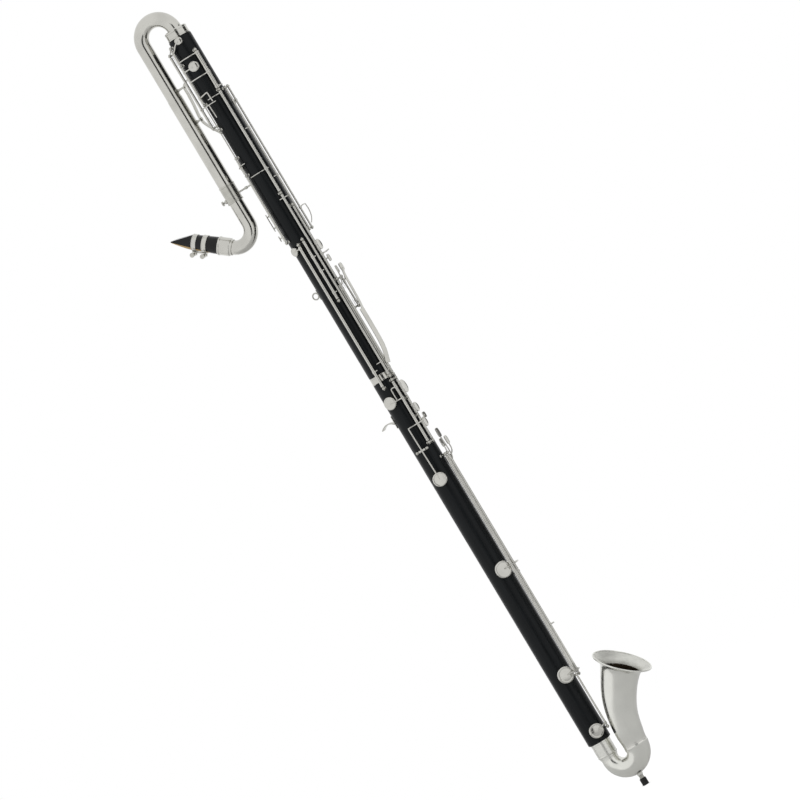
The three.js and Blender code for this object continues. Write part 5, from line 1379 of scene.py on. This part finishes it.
def posts():
    """The posts of each group with their steels, end screws and ties, and the needle springs of all."""
    springs = Shape()
    for name, lines in POST_GROUPS.items():
        shape = Shape()
        for angle, out, shares in [LINES[line] for line in lines]:
            for share in reversed(shares):
                shape.take(post(angle, height_at(share), out))
            low, high = height_at(shares[-1]), height_at(shares[0])
            shape.take(disc(HINGE.steel, low, high, SMALL, 0.1), line_place(angle, out))
            for height, facing in ((low, math.pi), (high, 0)):
                place = line_place(angle, out, height) @ Matrix.Rotation(facing, 4, "X")
                shape.take(slotted_head(1.9, 1.0), place @ Matrix.Translation((0, 0, POST.ball - 0.4)))
            springs.take(spring(angle, out, shares[0], -1))
            springs.take(spring(angle, out, shares[-1], 1))
        for tie in TIES.get(name, []):
            a, b = [at(LINES[line][1], LINES[line][0], LINES[line][2][i]) for line, i in (tie[:2], tie[2:])]
            shape.take(bar([a, a.lerp(b, 0.5), b], ARM_SLIM, sides=SMALL // 2))
        shape.finish(name + "_set", name, slot="nickel")
    springs.finish("needle_springs", slot="nickel", look="steel")


# Keys


def hinge_tube(radius, low, high):
    """A key's tube round its hinge steel, with a collar at each end."""
    wall = banded(radius + 0.35, radius, low, high, (0.2, 0.3), 2.6, 0.5, 40)
    return turned(shell(HINGE.steel + SEAT_GAP, *wall), SMALL, 0)


def cup(radius):
    """A domed pad cup with a rolled rim and a ring turned round its crown."""
    rise, inner = CUP.rise, radius - 1
    crown = [
        (0.97, 2.6), (0.94, 3.3), (0.89, 3.9), (0.85, rise), (0.81, rise), (0.77, rise - 0.45), (0.72, rise - 0.5),
        (0.66, rise - 0.2), (0.4, rise + 0.15), (0, rise + 0.3),
    ]
    wall = [(radius - 0.3, 0.3), (radius, 0.7), (radius, 1.5), (radius - 0.35, 2.0)]
    wall += [(radius * share, height) for share, height in crown]
    return turned(shell(inner, *wall, (0, 1.5)), 48, 0)


def pad(radius, low, high):
    """A leather pad with the ring that the chimney has pressed into it."""
    seat, half = radius - CUP.rim - 0.4, 0.7
    return turned([
        (0, low), (seat - half * 2, low), (seat - half, low + 0.35), (seat, low + 0.35), (seat + half, low),
        (radius - 0.35, low + 0.1), (radius, low + 0.5), (radius, high), (0, high),
    ], 48, 0)


def padded_cup(shape, pads, angle, share, radius):
    place = outward(angle, CUP_BASE, height_at(share))
    shape.take(cup(radius), place)
    pads.take(pad(radius - 1.15, -0.3, 1.4), place)


def finger_plate(radius):
    """A dished finger plate with a rounded edge."""
    thick = PLATES.thickness
    return turned([
        (0, 0), (radius - 0.8, 0), (radius, 0.7), (radius, 1.5), (radius - 0.3, 2.2), (radius - 1, thick),
        (radius - 2, thick), (radius - 3, thick - 0.5), (radius * 0.5, thick - 0.9), (0, thick - 1),
    ], 56, 0)


def touch_piece(width, length):
    """A rounded touch with a shallow dish, its face along +X, its width along Y and its length along Z.

    Its width and length are in body radii, and its outline is a rounded box, between an ellipse and a square.
    """
    size, power, part = (width * STACK.radius, length * STACK.radius), 3.4, bmesh.new()
    for vert in bmesh.ops.create_circle(part, cap_ends=True, radius=1, segments=48)["verts"]:
        for i in (0, 1):
            vert.co[i] = math.copysign(abs(vert.co[i]) ** (2 / power), vert.co[i]) * size[i] / 2
    risen(part, TOUCH)
    bmesh.ops.recalc_face_normals(part, faces=part.faces)
    face = max(part.faces, key=lambda f: f.calc_center_median().z)
    dish = bpy.context.scene.clarinet_detail.touch_dish / MM
    bmesh.ops.inset_region(part, faces=[face], thickness=min(1.3, size[0] * 0.12), depth=0)
    bmesh.ops.inset_region(part, faces=[face], thickness=min(1.2, size[0] * 0.1), depth=-dish)
    turn = Matrix(((0, 0, 1), (1, 0, 0), (0, 1, 0))).to_4x4()
    return placed(soften(part, 0.45, angle=60), turn @ Matrix.Translation((0, 0, -TOUCH / 2)))


def arm(points, radius, from_tube):
    """A drop-forged arm: wider at the tube it leaves, then flat and narrow."""
    way = smooth_way(points, 8) if len(points) > 2 else [points[0].lerp(points[1], i / 8) for i in range(9)]
    swell = (lambda s: 1 + 0.4 * (1 - s) ** 3) if from_tube else None
    return bar(way, radius * 1.12, radius * 0.95, BAR, away_from_body, swell)


def arc(radius, out, start, stop, share, lift=0, away=None):
    """A round arm bent round the body from one angle to another."""
    steps = max(4, round(abs(stop - start) / 3))
    turns = [start + (stop - start) * i / steps for i in range(steps + 1)]
    return bar([at(out, turn, share, lift, away) for turn in turns], radius, sides=BAR)


def saddle(radius):
    """The collar where an arm is brazed round its tube."""
    half, wide = 3.2, radius + 0.75
    wall = [(radius + 0.2, -half), (wide, -half + 0.8), (wide, half - 0.8), (radius + 0.2, half)]
    return turned(shell(radius - 0.2, *wall), SMALL, 0)


def key(name, row):
    """A key: its tube with the forms of its row, and its pads."""
    angle, out, shares = LINES[row.line]
    high, low = [height_at(share) for share in shares[row.post:row.post + 2]]
    shape, pads, line = Shape(), Shape(), line_place(angle, out)
    shape.take(hinge_tube(row.tube, low + TUBES.end, high - TUBES.end), line)
    if row.thick:
        top, foot, wide = row.thick
        wall = [(wide, height_at(foot)), (wide, height_at(top))]
        shape.take(turned(shell(row.tube - 0.2, *wall), SMALL, 0.25), line)
    saddles = set()
    for spots in row.arms:
        on_tube = spots[0][0] == angle and len(spots[0]) < 4
        shape.take(arm([at(out, *spot) for spot in spots], row.arm, on_tube))
        if on_tube:
            saddles.add(spots[0][1])
    for spots in row.arcs:
        shape.take(arc(row.arm, out, *spots))
        if spots[0] == angle and len(spots) < 5:
            saddles.add(spots[2])
    for share in saddles:
        shape.take(saddle(row.tube), line_place(angle, out, height_at(share)))
    for spot in row.cups:
        padded_cup(shape, pads, *spot)
    for facing, share, radius in row.plates:
        place = outward(facing, STACK.radius + CUP.chimney + PLATES.lift, height_at(share))
        shape.take(finger_plate(radius), place)
        pads.take(pad(radius - 1.4, -1, 0.1), place)
    for spot, width, length, *turn in row.touches:
        shape.take(touch_piece(width, length), facing_out(spot[0] + sum(turn), at(out, *spot)))
    for spots, width, facing in row.slabs:
        rows = [Vector((turn, out + lift * STACK.radius, height_at(share))) for turn, share, lift in spots]
        way = [polar(*spot) for spot in smooth_way(rows, 8)]
        face = polar(facing, 1, 0) - polar(facing, 0, 0)
        shape.take(strip(way, width * STACK.radius, TOUCH, lambda spot: face, 0.7))
    shape.finish(name + "_plate", name, body=name)
    if pads.bm.verts:
        pads.finish(name + "_pads", body=name, slot="cork", look="leather")


def upper_keys():
    for name, row in UPPER_KEYS.items():
        key(name, row)


def middle_keys():
    for name, row in MIDDLE_KEYS.items():
        key(name, row)


def lower_keys():
    for name, row in LOWER_KEYS.items():
        key(name, row)


# Its place: a part that points along Z comes to lie on the cross pivot's line
PIVOT_OUT = STACK.radius + FORK.pivot_out
PIVOT = facing_out(FORK.angle, polar(FORK.angle, PIVOT_OUT, height_at(FORK.pivot)))
PIVOT = PIVOT @ Matrix.Rotation(math.pi / 2, 4, "X")


def fork_posts():
    """The two leaning posts of the cross pivot, and its steel."""
    shape, half, foot = Shape(), FORK.half_span, POST.foot
    for side in (-1, 1):
        tilt = math.degrees(math.atan2(side * half, PIVOT_OUT))
        root = polar(FORK.angle + tilt, WALL, height_at(FORK.pivot))
        head = PIVOT @ Matrix.Translation((0, 0, -side * half))
        tip = head.translation
        shape.take(bar([root, root.lerp(tip, 0.5), tip], POST.stem, sides=SMALL))
        shape.take(turned([(0, -POST.ball), *ball(0, -75)], SMALL, 0), head)
        flange = turned([(0, 0), (foot, 0), (foot, 0.6), (foot - 0.8, 1.3), (0, 1.8)], SMALL, 0)
        way = (tip - root).to_track_quat("Z", "Y").to_matrix().to_4x4()
        shape.take(flange, Matrix.Translation(root) @ way)
    shape.take(disc(HINGE.steel, -half, half, SMALL, 0.1), PIVOT)
    shape.finish("fork_posts_set", "fork_posts", slot="nickel")


def fork_key():
    """The key that rocks on a cross pivot: its cup is below the pivot and its touch above."""
    home, out = FORK.angle, STACK.radius + FORK.arm_out
    far = out + ARM * 2
    shape, pads = Shape(hinge_tube(TUBES.slim, -FORK.tube_half, FORK.tube_half), PIVOT), Shape()
    spots = [
        at(far, home, FORK.top), at(out - ARM, home, FORK.pivot),
        at(CUP_TOP, home, FORK.cup + CUPS.cross / STACK.length), at(CUP_TOP, home, FORK.cup),
    ]
    shape.take(arm(spots, ARM, False))
    shape.take(arc(ARM, far, home, FORK.bend_angle, FORK.top))
    corner, spot = at(far, FORK.bend_angle, FORK.top), at(far + ARM, FORK.touch_angle, FORK.touch)
    shape.take(bar([corner, corner.lerp(spot, 0.5), spot], ARM, sides=BAR))
    shape.take(touch_piece(FORK.touch_width, FORK.touch_length), facing_out(FORK.touch_angle, spot))
    padded_cup(shape, pads, home, FORK.cup, CUPS.cross)
    shape.finish("fork_key_plate", "fork_key", body="fork_key")
    pads.finish("fork_key_pads", body="fork_key", slot="cork", look="leather")


# Stage: camera, lamps, background and floor

PIXEL = 2.15  # millimetres of the object to one pixel of the photograph
PHOTO = 800  # pixels across the photograph
CAMERA = Sizes(
    distance=12.0, sensor=36.0, aim=Vector((-0.0329, 0, 0.9802)), forward=Vector((-0.358, 0.934, 0)).normalized(),
    roll=math.radians(30.85),
)
UP = Vector((0, 0, 1))
FLOOR_DROP = 0.0002  # metres that the floor lies under the peg's foot
# Lamps: the property of their power, azimuth from the camera's side, degrees, and width, metres
LAMPS = {"key_lamp": ("key_light", 36, 1.9), "fill_lamp": ("fill_light", -70, 2.4)}
LAMP_HEIGHT, LAMP_DISTANCE, LAMP_RISE = 4.4, 3.6, 0.4
# Tall cards: azimuth from the camera's side and spread, degrees, foot and top, metres, and tone
CARDS = [
    (3, 22, 0.2, 2.8, 0.03), (3, 22, -0.6, 0.12, 0.03), (99, 38, 1.35, 2.4, 0.03),
    (99, 38, 0.2, 1.35, 0.22), (-116, 8, -0.6, 0.5, 0.03), (-70, 122, -0.6, 2.8, 1.0),
]
CARD_DISTANCE = 3.2


class ClarinetStage(bpy.types.PropertyGroup):
    """The studio round the clarinet."""

    floor_reach: bpy.props.FloatProperty(
        name="Floor reach", description="How far the pale floor reaches from the peg before it fades",
        default=2.6, min=1, unit="LENGTH",
    )
    backdrop: bpy.props.FloatProperty(
        name="Backdrop light", description="Strength of the white surroundings on matt surfaces",
        default=0.55, min=0,
    )
    key_light: bpy.props.FloatProperty(
        name="Key light", description="Power of the large lamp at the front", default=36, min=0, unit="POWER",
    )
    fill_light: bpy.props.FloatProperty(
        name="Fill light", description="Power of the lamp on the other side", default=40, min=0, unit="POWER",
    )


def towards(turn):
    """The level way out from the object at an azimuth from the camera's side."""
    return Matrix.Rotation(math.radians(turn), 3, "Z") @ -CAMERA.forward


def camera():
    made = linked("camera", bpy.data.cameras.new("camera"))
    made.data.sensor_width = CAMERA.sensor
    made.data.lens = CAMERA.sensor * CAMERA.distance / (PHOTO * PIXEL * MM)
    level = CAMERA.forward.cross(UP).normalized()
    right = level * math.cos(CAMERA.roll) - UP * math.sin(CAMERA.roll)
    top = level * math.sin(CAMERA.roll) + UP * math.cos(CAMERA.roll)
    place = Matrix((right, top, -CAMERA.forward)).transposed().to_4x4()
    place.translation = CAMERA.aim - CAMERA.forward * CAMERA.distance
    made.matrix_world = place
    bpy.context.scene.camera = made


def lamps(look):
    """Two large soft lamps, which light the matt surfaces and don't show in reflections."""
    for name, (power, turn, width) in LAMPS.items():
        made = linked(name, bpy.data.lights.new(name, "AREA"))
        made.data.shape = "RECTANGLE"
        made.data.size, made.data.size_y = width, LAMP_HEIGHT
        made.data.energy = getattr(look, power)
        made.location = CAMERA.aim + towards(turn) * LAMP_DISTANCE + UP * LAMP_RISE
        made.rotation_euler = (CAMERA.aim - made.location).to_track_quat("-Z", "Y").to_euler()
        made.visible_glossy = False


def surroundings(strength):
    """Pure white to the camera and in reflections, softer where it lights matt surfaces."""
    world = bpy.context.scene.world = bpy.data.worlds.new("surroundings")
    tree = cleared(world)
    path = add_node(tree, "ShaderNodeLightPath")
    seen = path.outputs["Is Camera Ray"]
    for ray in ("Is Glossy Ray", "Is Transmission Ray"):
        either = add_node(tree, "ShaderNodeMath", {"operation": "MAXIMUM"}, {0: seen, 1: path.outputs[ray]})
        seen = either.outputs[0]
    level = add_node(tree, "ShaderNodeMapRange", {}, {"Value": seen, "To Min": strength, "To Max": 1.0})
    light = add_node(tree, "ShaderNodeBackground", {}, {
        "Color": (1, 1, 1, 1), "Strength": level.outputs["Result"],
    })
    add_node(tree, "ShaderNodeOutputWorld", {}, {"Surface": light.outputs[0]})


def floor_finish(reach):
    """Pale studio floor, fading out to the white background."""
    material = bpy.data.materials.new("pale studio floor")
    tree = cleared(material)
    place = add_node(tree, "ShaderNodeTexCoord")
    away = add_node(tree, "ShaderNodeVectorMath", {"operation": "LENGTH"}, {0: place.outputs["Object"]})
    fade = add_node(tree, "ShaderNodeMapRange", {"interpolation_type": "SMOOTHSTEP"}, {
        "Value": away.outputs["Value"], "From Min": reach * 0.4, "From Max": reach * 0.96,
    })
    matt = add_node(tree, "ShaderNodeBsdfDiffuse", {}, {"Color": (0.9, 0.9, 0.9, 1)})
    glow = add_node(tree, "ShaderNodeEmission", {}, {"Color": (1, 1, 1, 1), "Strength": 0.5})
    path = add_node(tree, "ShaderNodeLightPath")
    lit = add_node(tree, "ShaderNodeAddShader", {}, {0: matt.outputs[0], 1: glow.outputs[0]})
    shown = add_node(tree, "ShaderNodeMixShader", {}, {
        0: path.outputs["Is Camera Ray"], 1: matt.outputs[0], 2: lit.outputs[0],
    })
    clear = add_node(tree, "ShaderNodeBsdfTransparent")
    faded = add_node(tree, "ShaderNodeMixShader", {}, {
        0: fade.outputs[0], 1: shown.outputs[0], 2: clear.outputs[0],
    })
    add_node(tree, "ShaderNodeOutputMaterial", {}, {"Surface": faded.outputs[0]})
    return material


def card_finish(tone):
    """Matt card, seen only in reflections: black at tone 0, as bright as the surroundings at 1."""
    material = bpy.data.materials.new("matt card")
    tree = cleared(material)
    matt = add_node(tree, "ShaderNodeEmission", {}, {"Color": (1, 1, 1, 1), "Strength": tone})
    add_node(tree, "ShaderNodeOutputMaterial", {}, {"Surface": matt.outputs[0]})
    return material


def stage_plane(name, width, height, place, finish):
    part = bmesh.new()
    size = Matrix.Diagonal((width / 2, height / 2, 1, 1))
    bmesh.ops.create_grid(part, x_segments=1, y_segments=1, size=1, matrix=size)
    made = linked(name, meshed(name, part))
    made.data.materials.append(finish)
    made.matrix_world = place
    return made


def cards():
    """Tall cards round the set, which draw the dark streaks down the plated tubes."""
    for i, (turn, spread, low, high, tone) in enumerate(CARDS):
        way = towards(turn)
        spot = CAMERA.aim + way * CARD_DISTANCE
        spot.z = (low + high) / 2
        place = (-way).to_track_quat("Z", "Y").to_matrix().to_4x4()
        place.translation = spot
        width = 2 * CARD_DISTANCE * math.tan(math.radians(spread / 2))
        card = stage_plane(f"card_{i + 1}", width, high - low, place, card_finish(tone))
        card.visible_camera = card.visible_shadow = card.visible_diffuse = False
        card.visible_transmission = False


def studio():
    look = bpy.context.scene.clarinet_stage
    bpy.context.scene.view_settings.view_transform = "Standard"
    camera()
    surroundings(look.backdrop)
    reach, place = look.floor_reach, Matrix.Translation((0, 0, -FLOOR_DROP))
    stage_plane("floor", reach * 2, reach * 2, place, floor_finish(reach))
    cards()
    lamps(look)


# The add-on's parts


class Builder:
    """What the operators share: each runs its builders in order, and an error in one stops it."""

    bl_options = {"REGISTER", "UNDO"}

    def execute(self, context):
        for build in self.builders:
            build()
        return {"FINISHED"}


class CLARINET_OT_joints(Builder, bpy.types.Operator):
    """Model the two black joints with their tone holes"""

    bl_idname, bl_label, builders = "clarinet.joints", "Body joints", (joints,)


class CLARINET_OT_rings(Builder, bpy.types.Operator):
    """Model the seam ring and the tenon corks"""

    bl_idname, bl_label, builders = "clarinet.rings", "Ring and corks", (tenon_ring, corks)


class CLARINET_OT_neck(Builder, bpy.types.Operator):
    """Model the socket, the bow over the top, its sleeve and the clamp"""

    bl_idname, bl_label = "clarinet.neck", "Neck"
    builders = (neck_socket, neck_bow, neck_sleeve, neck_receiver, clamp_screw)


class CLARINET_OT_crook(Builder, bpy.types.Operator):
    """Model the sliding crook"""

    bl_idname, bl_label, builders = "clarinet.crook", "Crook", (crook,)


class CLARINET_OT_braces(Builder, bpy.types.Operator):
    """Model the neck's brace and the bumper post"""

    bl_idname, bl_label, builders = "clarinet.braces", "Brace and bumper", (neck_brace, body_bumper)


class CLARINET_OT_mouthpiece(Builder, bpy.types.Operator):
    """Model the receiver, mouthpiece, cork and reed"""

    bl_idname, bl_label = "clarinet.mouthpiece", "Mouthpiece"
    builders = (mouthpiece_receiver, mouthpiece, mouthpiece_cork, reed)


class CLARINET_OT_ligature(Builder, bpy.types.Operator):
    """Model the ligature and its thumb screws"""

    bl_idname, bl_label, builders = "clarinet.ligature", "Ligature", (ligature, ligature_screws)


class CLARINET_OT_bell(Builder, bpy.types.Operator):
    """Model the ferrule, the bow and the bell"""

    bl_idname, bl_label, builders = "clarinet.bell", "Bell", (bell_ferrule, bell_bow, bell)


class CLARINET_OT_peg(Builder, bpy.types.Operator):
    """Model the peg, its socket and its rubber tip"""

    bl_idname, bl_label, builders = "clarinet.peg", "Floor peg", (peg_socket, floor_peg)


class CLARINET_OT_holds(Builder, bpy.types.Operator):
    """Model the player's holds"""

    bl_idname, bl_label, builders = "clarinet.holds", "Strap ring and thumb hook", (strap_ring, thumb_hook)


class CLARINET_OT_posts(Builder, bpy.types.Operator):
    """Model the posts, hinge steels and springs"""

    bl_idname, bl_label, builders = "clarinet.posts", "Posts", (posts, fork_posts)


class CLARINET_OT_upper_keys(Builder, bpy.types.Operator):
    """Model the keys at the top"""

    bl_idname, bl_label, builders = "clarinet.upper_keys", "Upper keys", (upper_keys,)


class CLARINET_OT_middle_keys(Builder, bpy.types.Operator):
    """Model the keys in the middle"""

    bl_idname, bl_label, builders = "clarinet.middle_keys", "Middle keys", (middle_keys,)


class CLARINET_OT_lower_keys(Builder, bpy.types.Operator):
    """Model the keys at the bottom"""

    bl_idname, bl_label, builders = "clarinet.lower_keys", "Lower keys", (lower_keys, fork_key)


class CLARINET_OT_studio(Builder, bpy.types.Operator):
    """Set up the camera, lamps, floor and background"""

    bl_idname, bl_label, builders = "clarinet.studio", "Studio", (studio,)


class CLARINET_PT_panel(bpy.types.Panel):
    """Lists the clarinet's pieces in the order they are made."""

    bl_label = "Contrabass Clarinet"
    bl_idname = "CLARINET_PT_panel"
    bl_space_type = "VIEW_3D"
    bl_region_type = "UI"
    bl_category = "Clarinet"

    def draw(self, context):
        for made in OPERATORS:
            self.layout.operator(made.bl_idname)
        for name in GROUPS:
            group = getattr(context.scene, name)
            for prop in group.bl_rna.properties:
                if prop.identifier not in ("rna_type", "name"):
                    self.layout.prop(group, prop.identifier)


OPERATORS = [
    CLARINET_OT_joints, CLARINET_OT_rings, CLARINET_OT_neck, CLARINET_OT_crook, CLARINET_OT_braces,
    CLARINET_OT_mouthpiece, CLARINET_OT_ligature, CLARINET_OT_bell, CLARINET_OT_peg, CLARINET_OT_holds,
    CLARINET_OT_posts, CLARINET_OT_upper_keys, CLARINET_OT_middle_keys, CLARINET_OT_lower_keys,
    CLARINET_OT_studio,
]
GROUPS = {"clarinet_finish": ClarinetFinish, "clarinet_detail": ClarinetDetail, "clarinet_stage": ClarinetStage}
CLASSES = [*GROUPS.values(), *OPERATORS, CLARINET_PT_panel]


def register():
    for made in CLASSES:
        bpy.utils.register_class(made)
    for name, group in GROUPS.items():
        setattr(bpy.types.Scene, name, bpy.props.PointerProperty(type=group))


def unregister():
    for name in GROUPS:
        delattr(bpy.types.Scene, name)
    for made in reversed(CLASSES):
        bpy.utils.unregister_class(made)


def main():
    register()
    for made in OPERATORS:
        getattr(bpy.ops.clarinet, made.bl_idname.split(".")[1])()


if __name__ == "__main__":
    main()
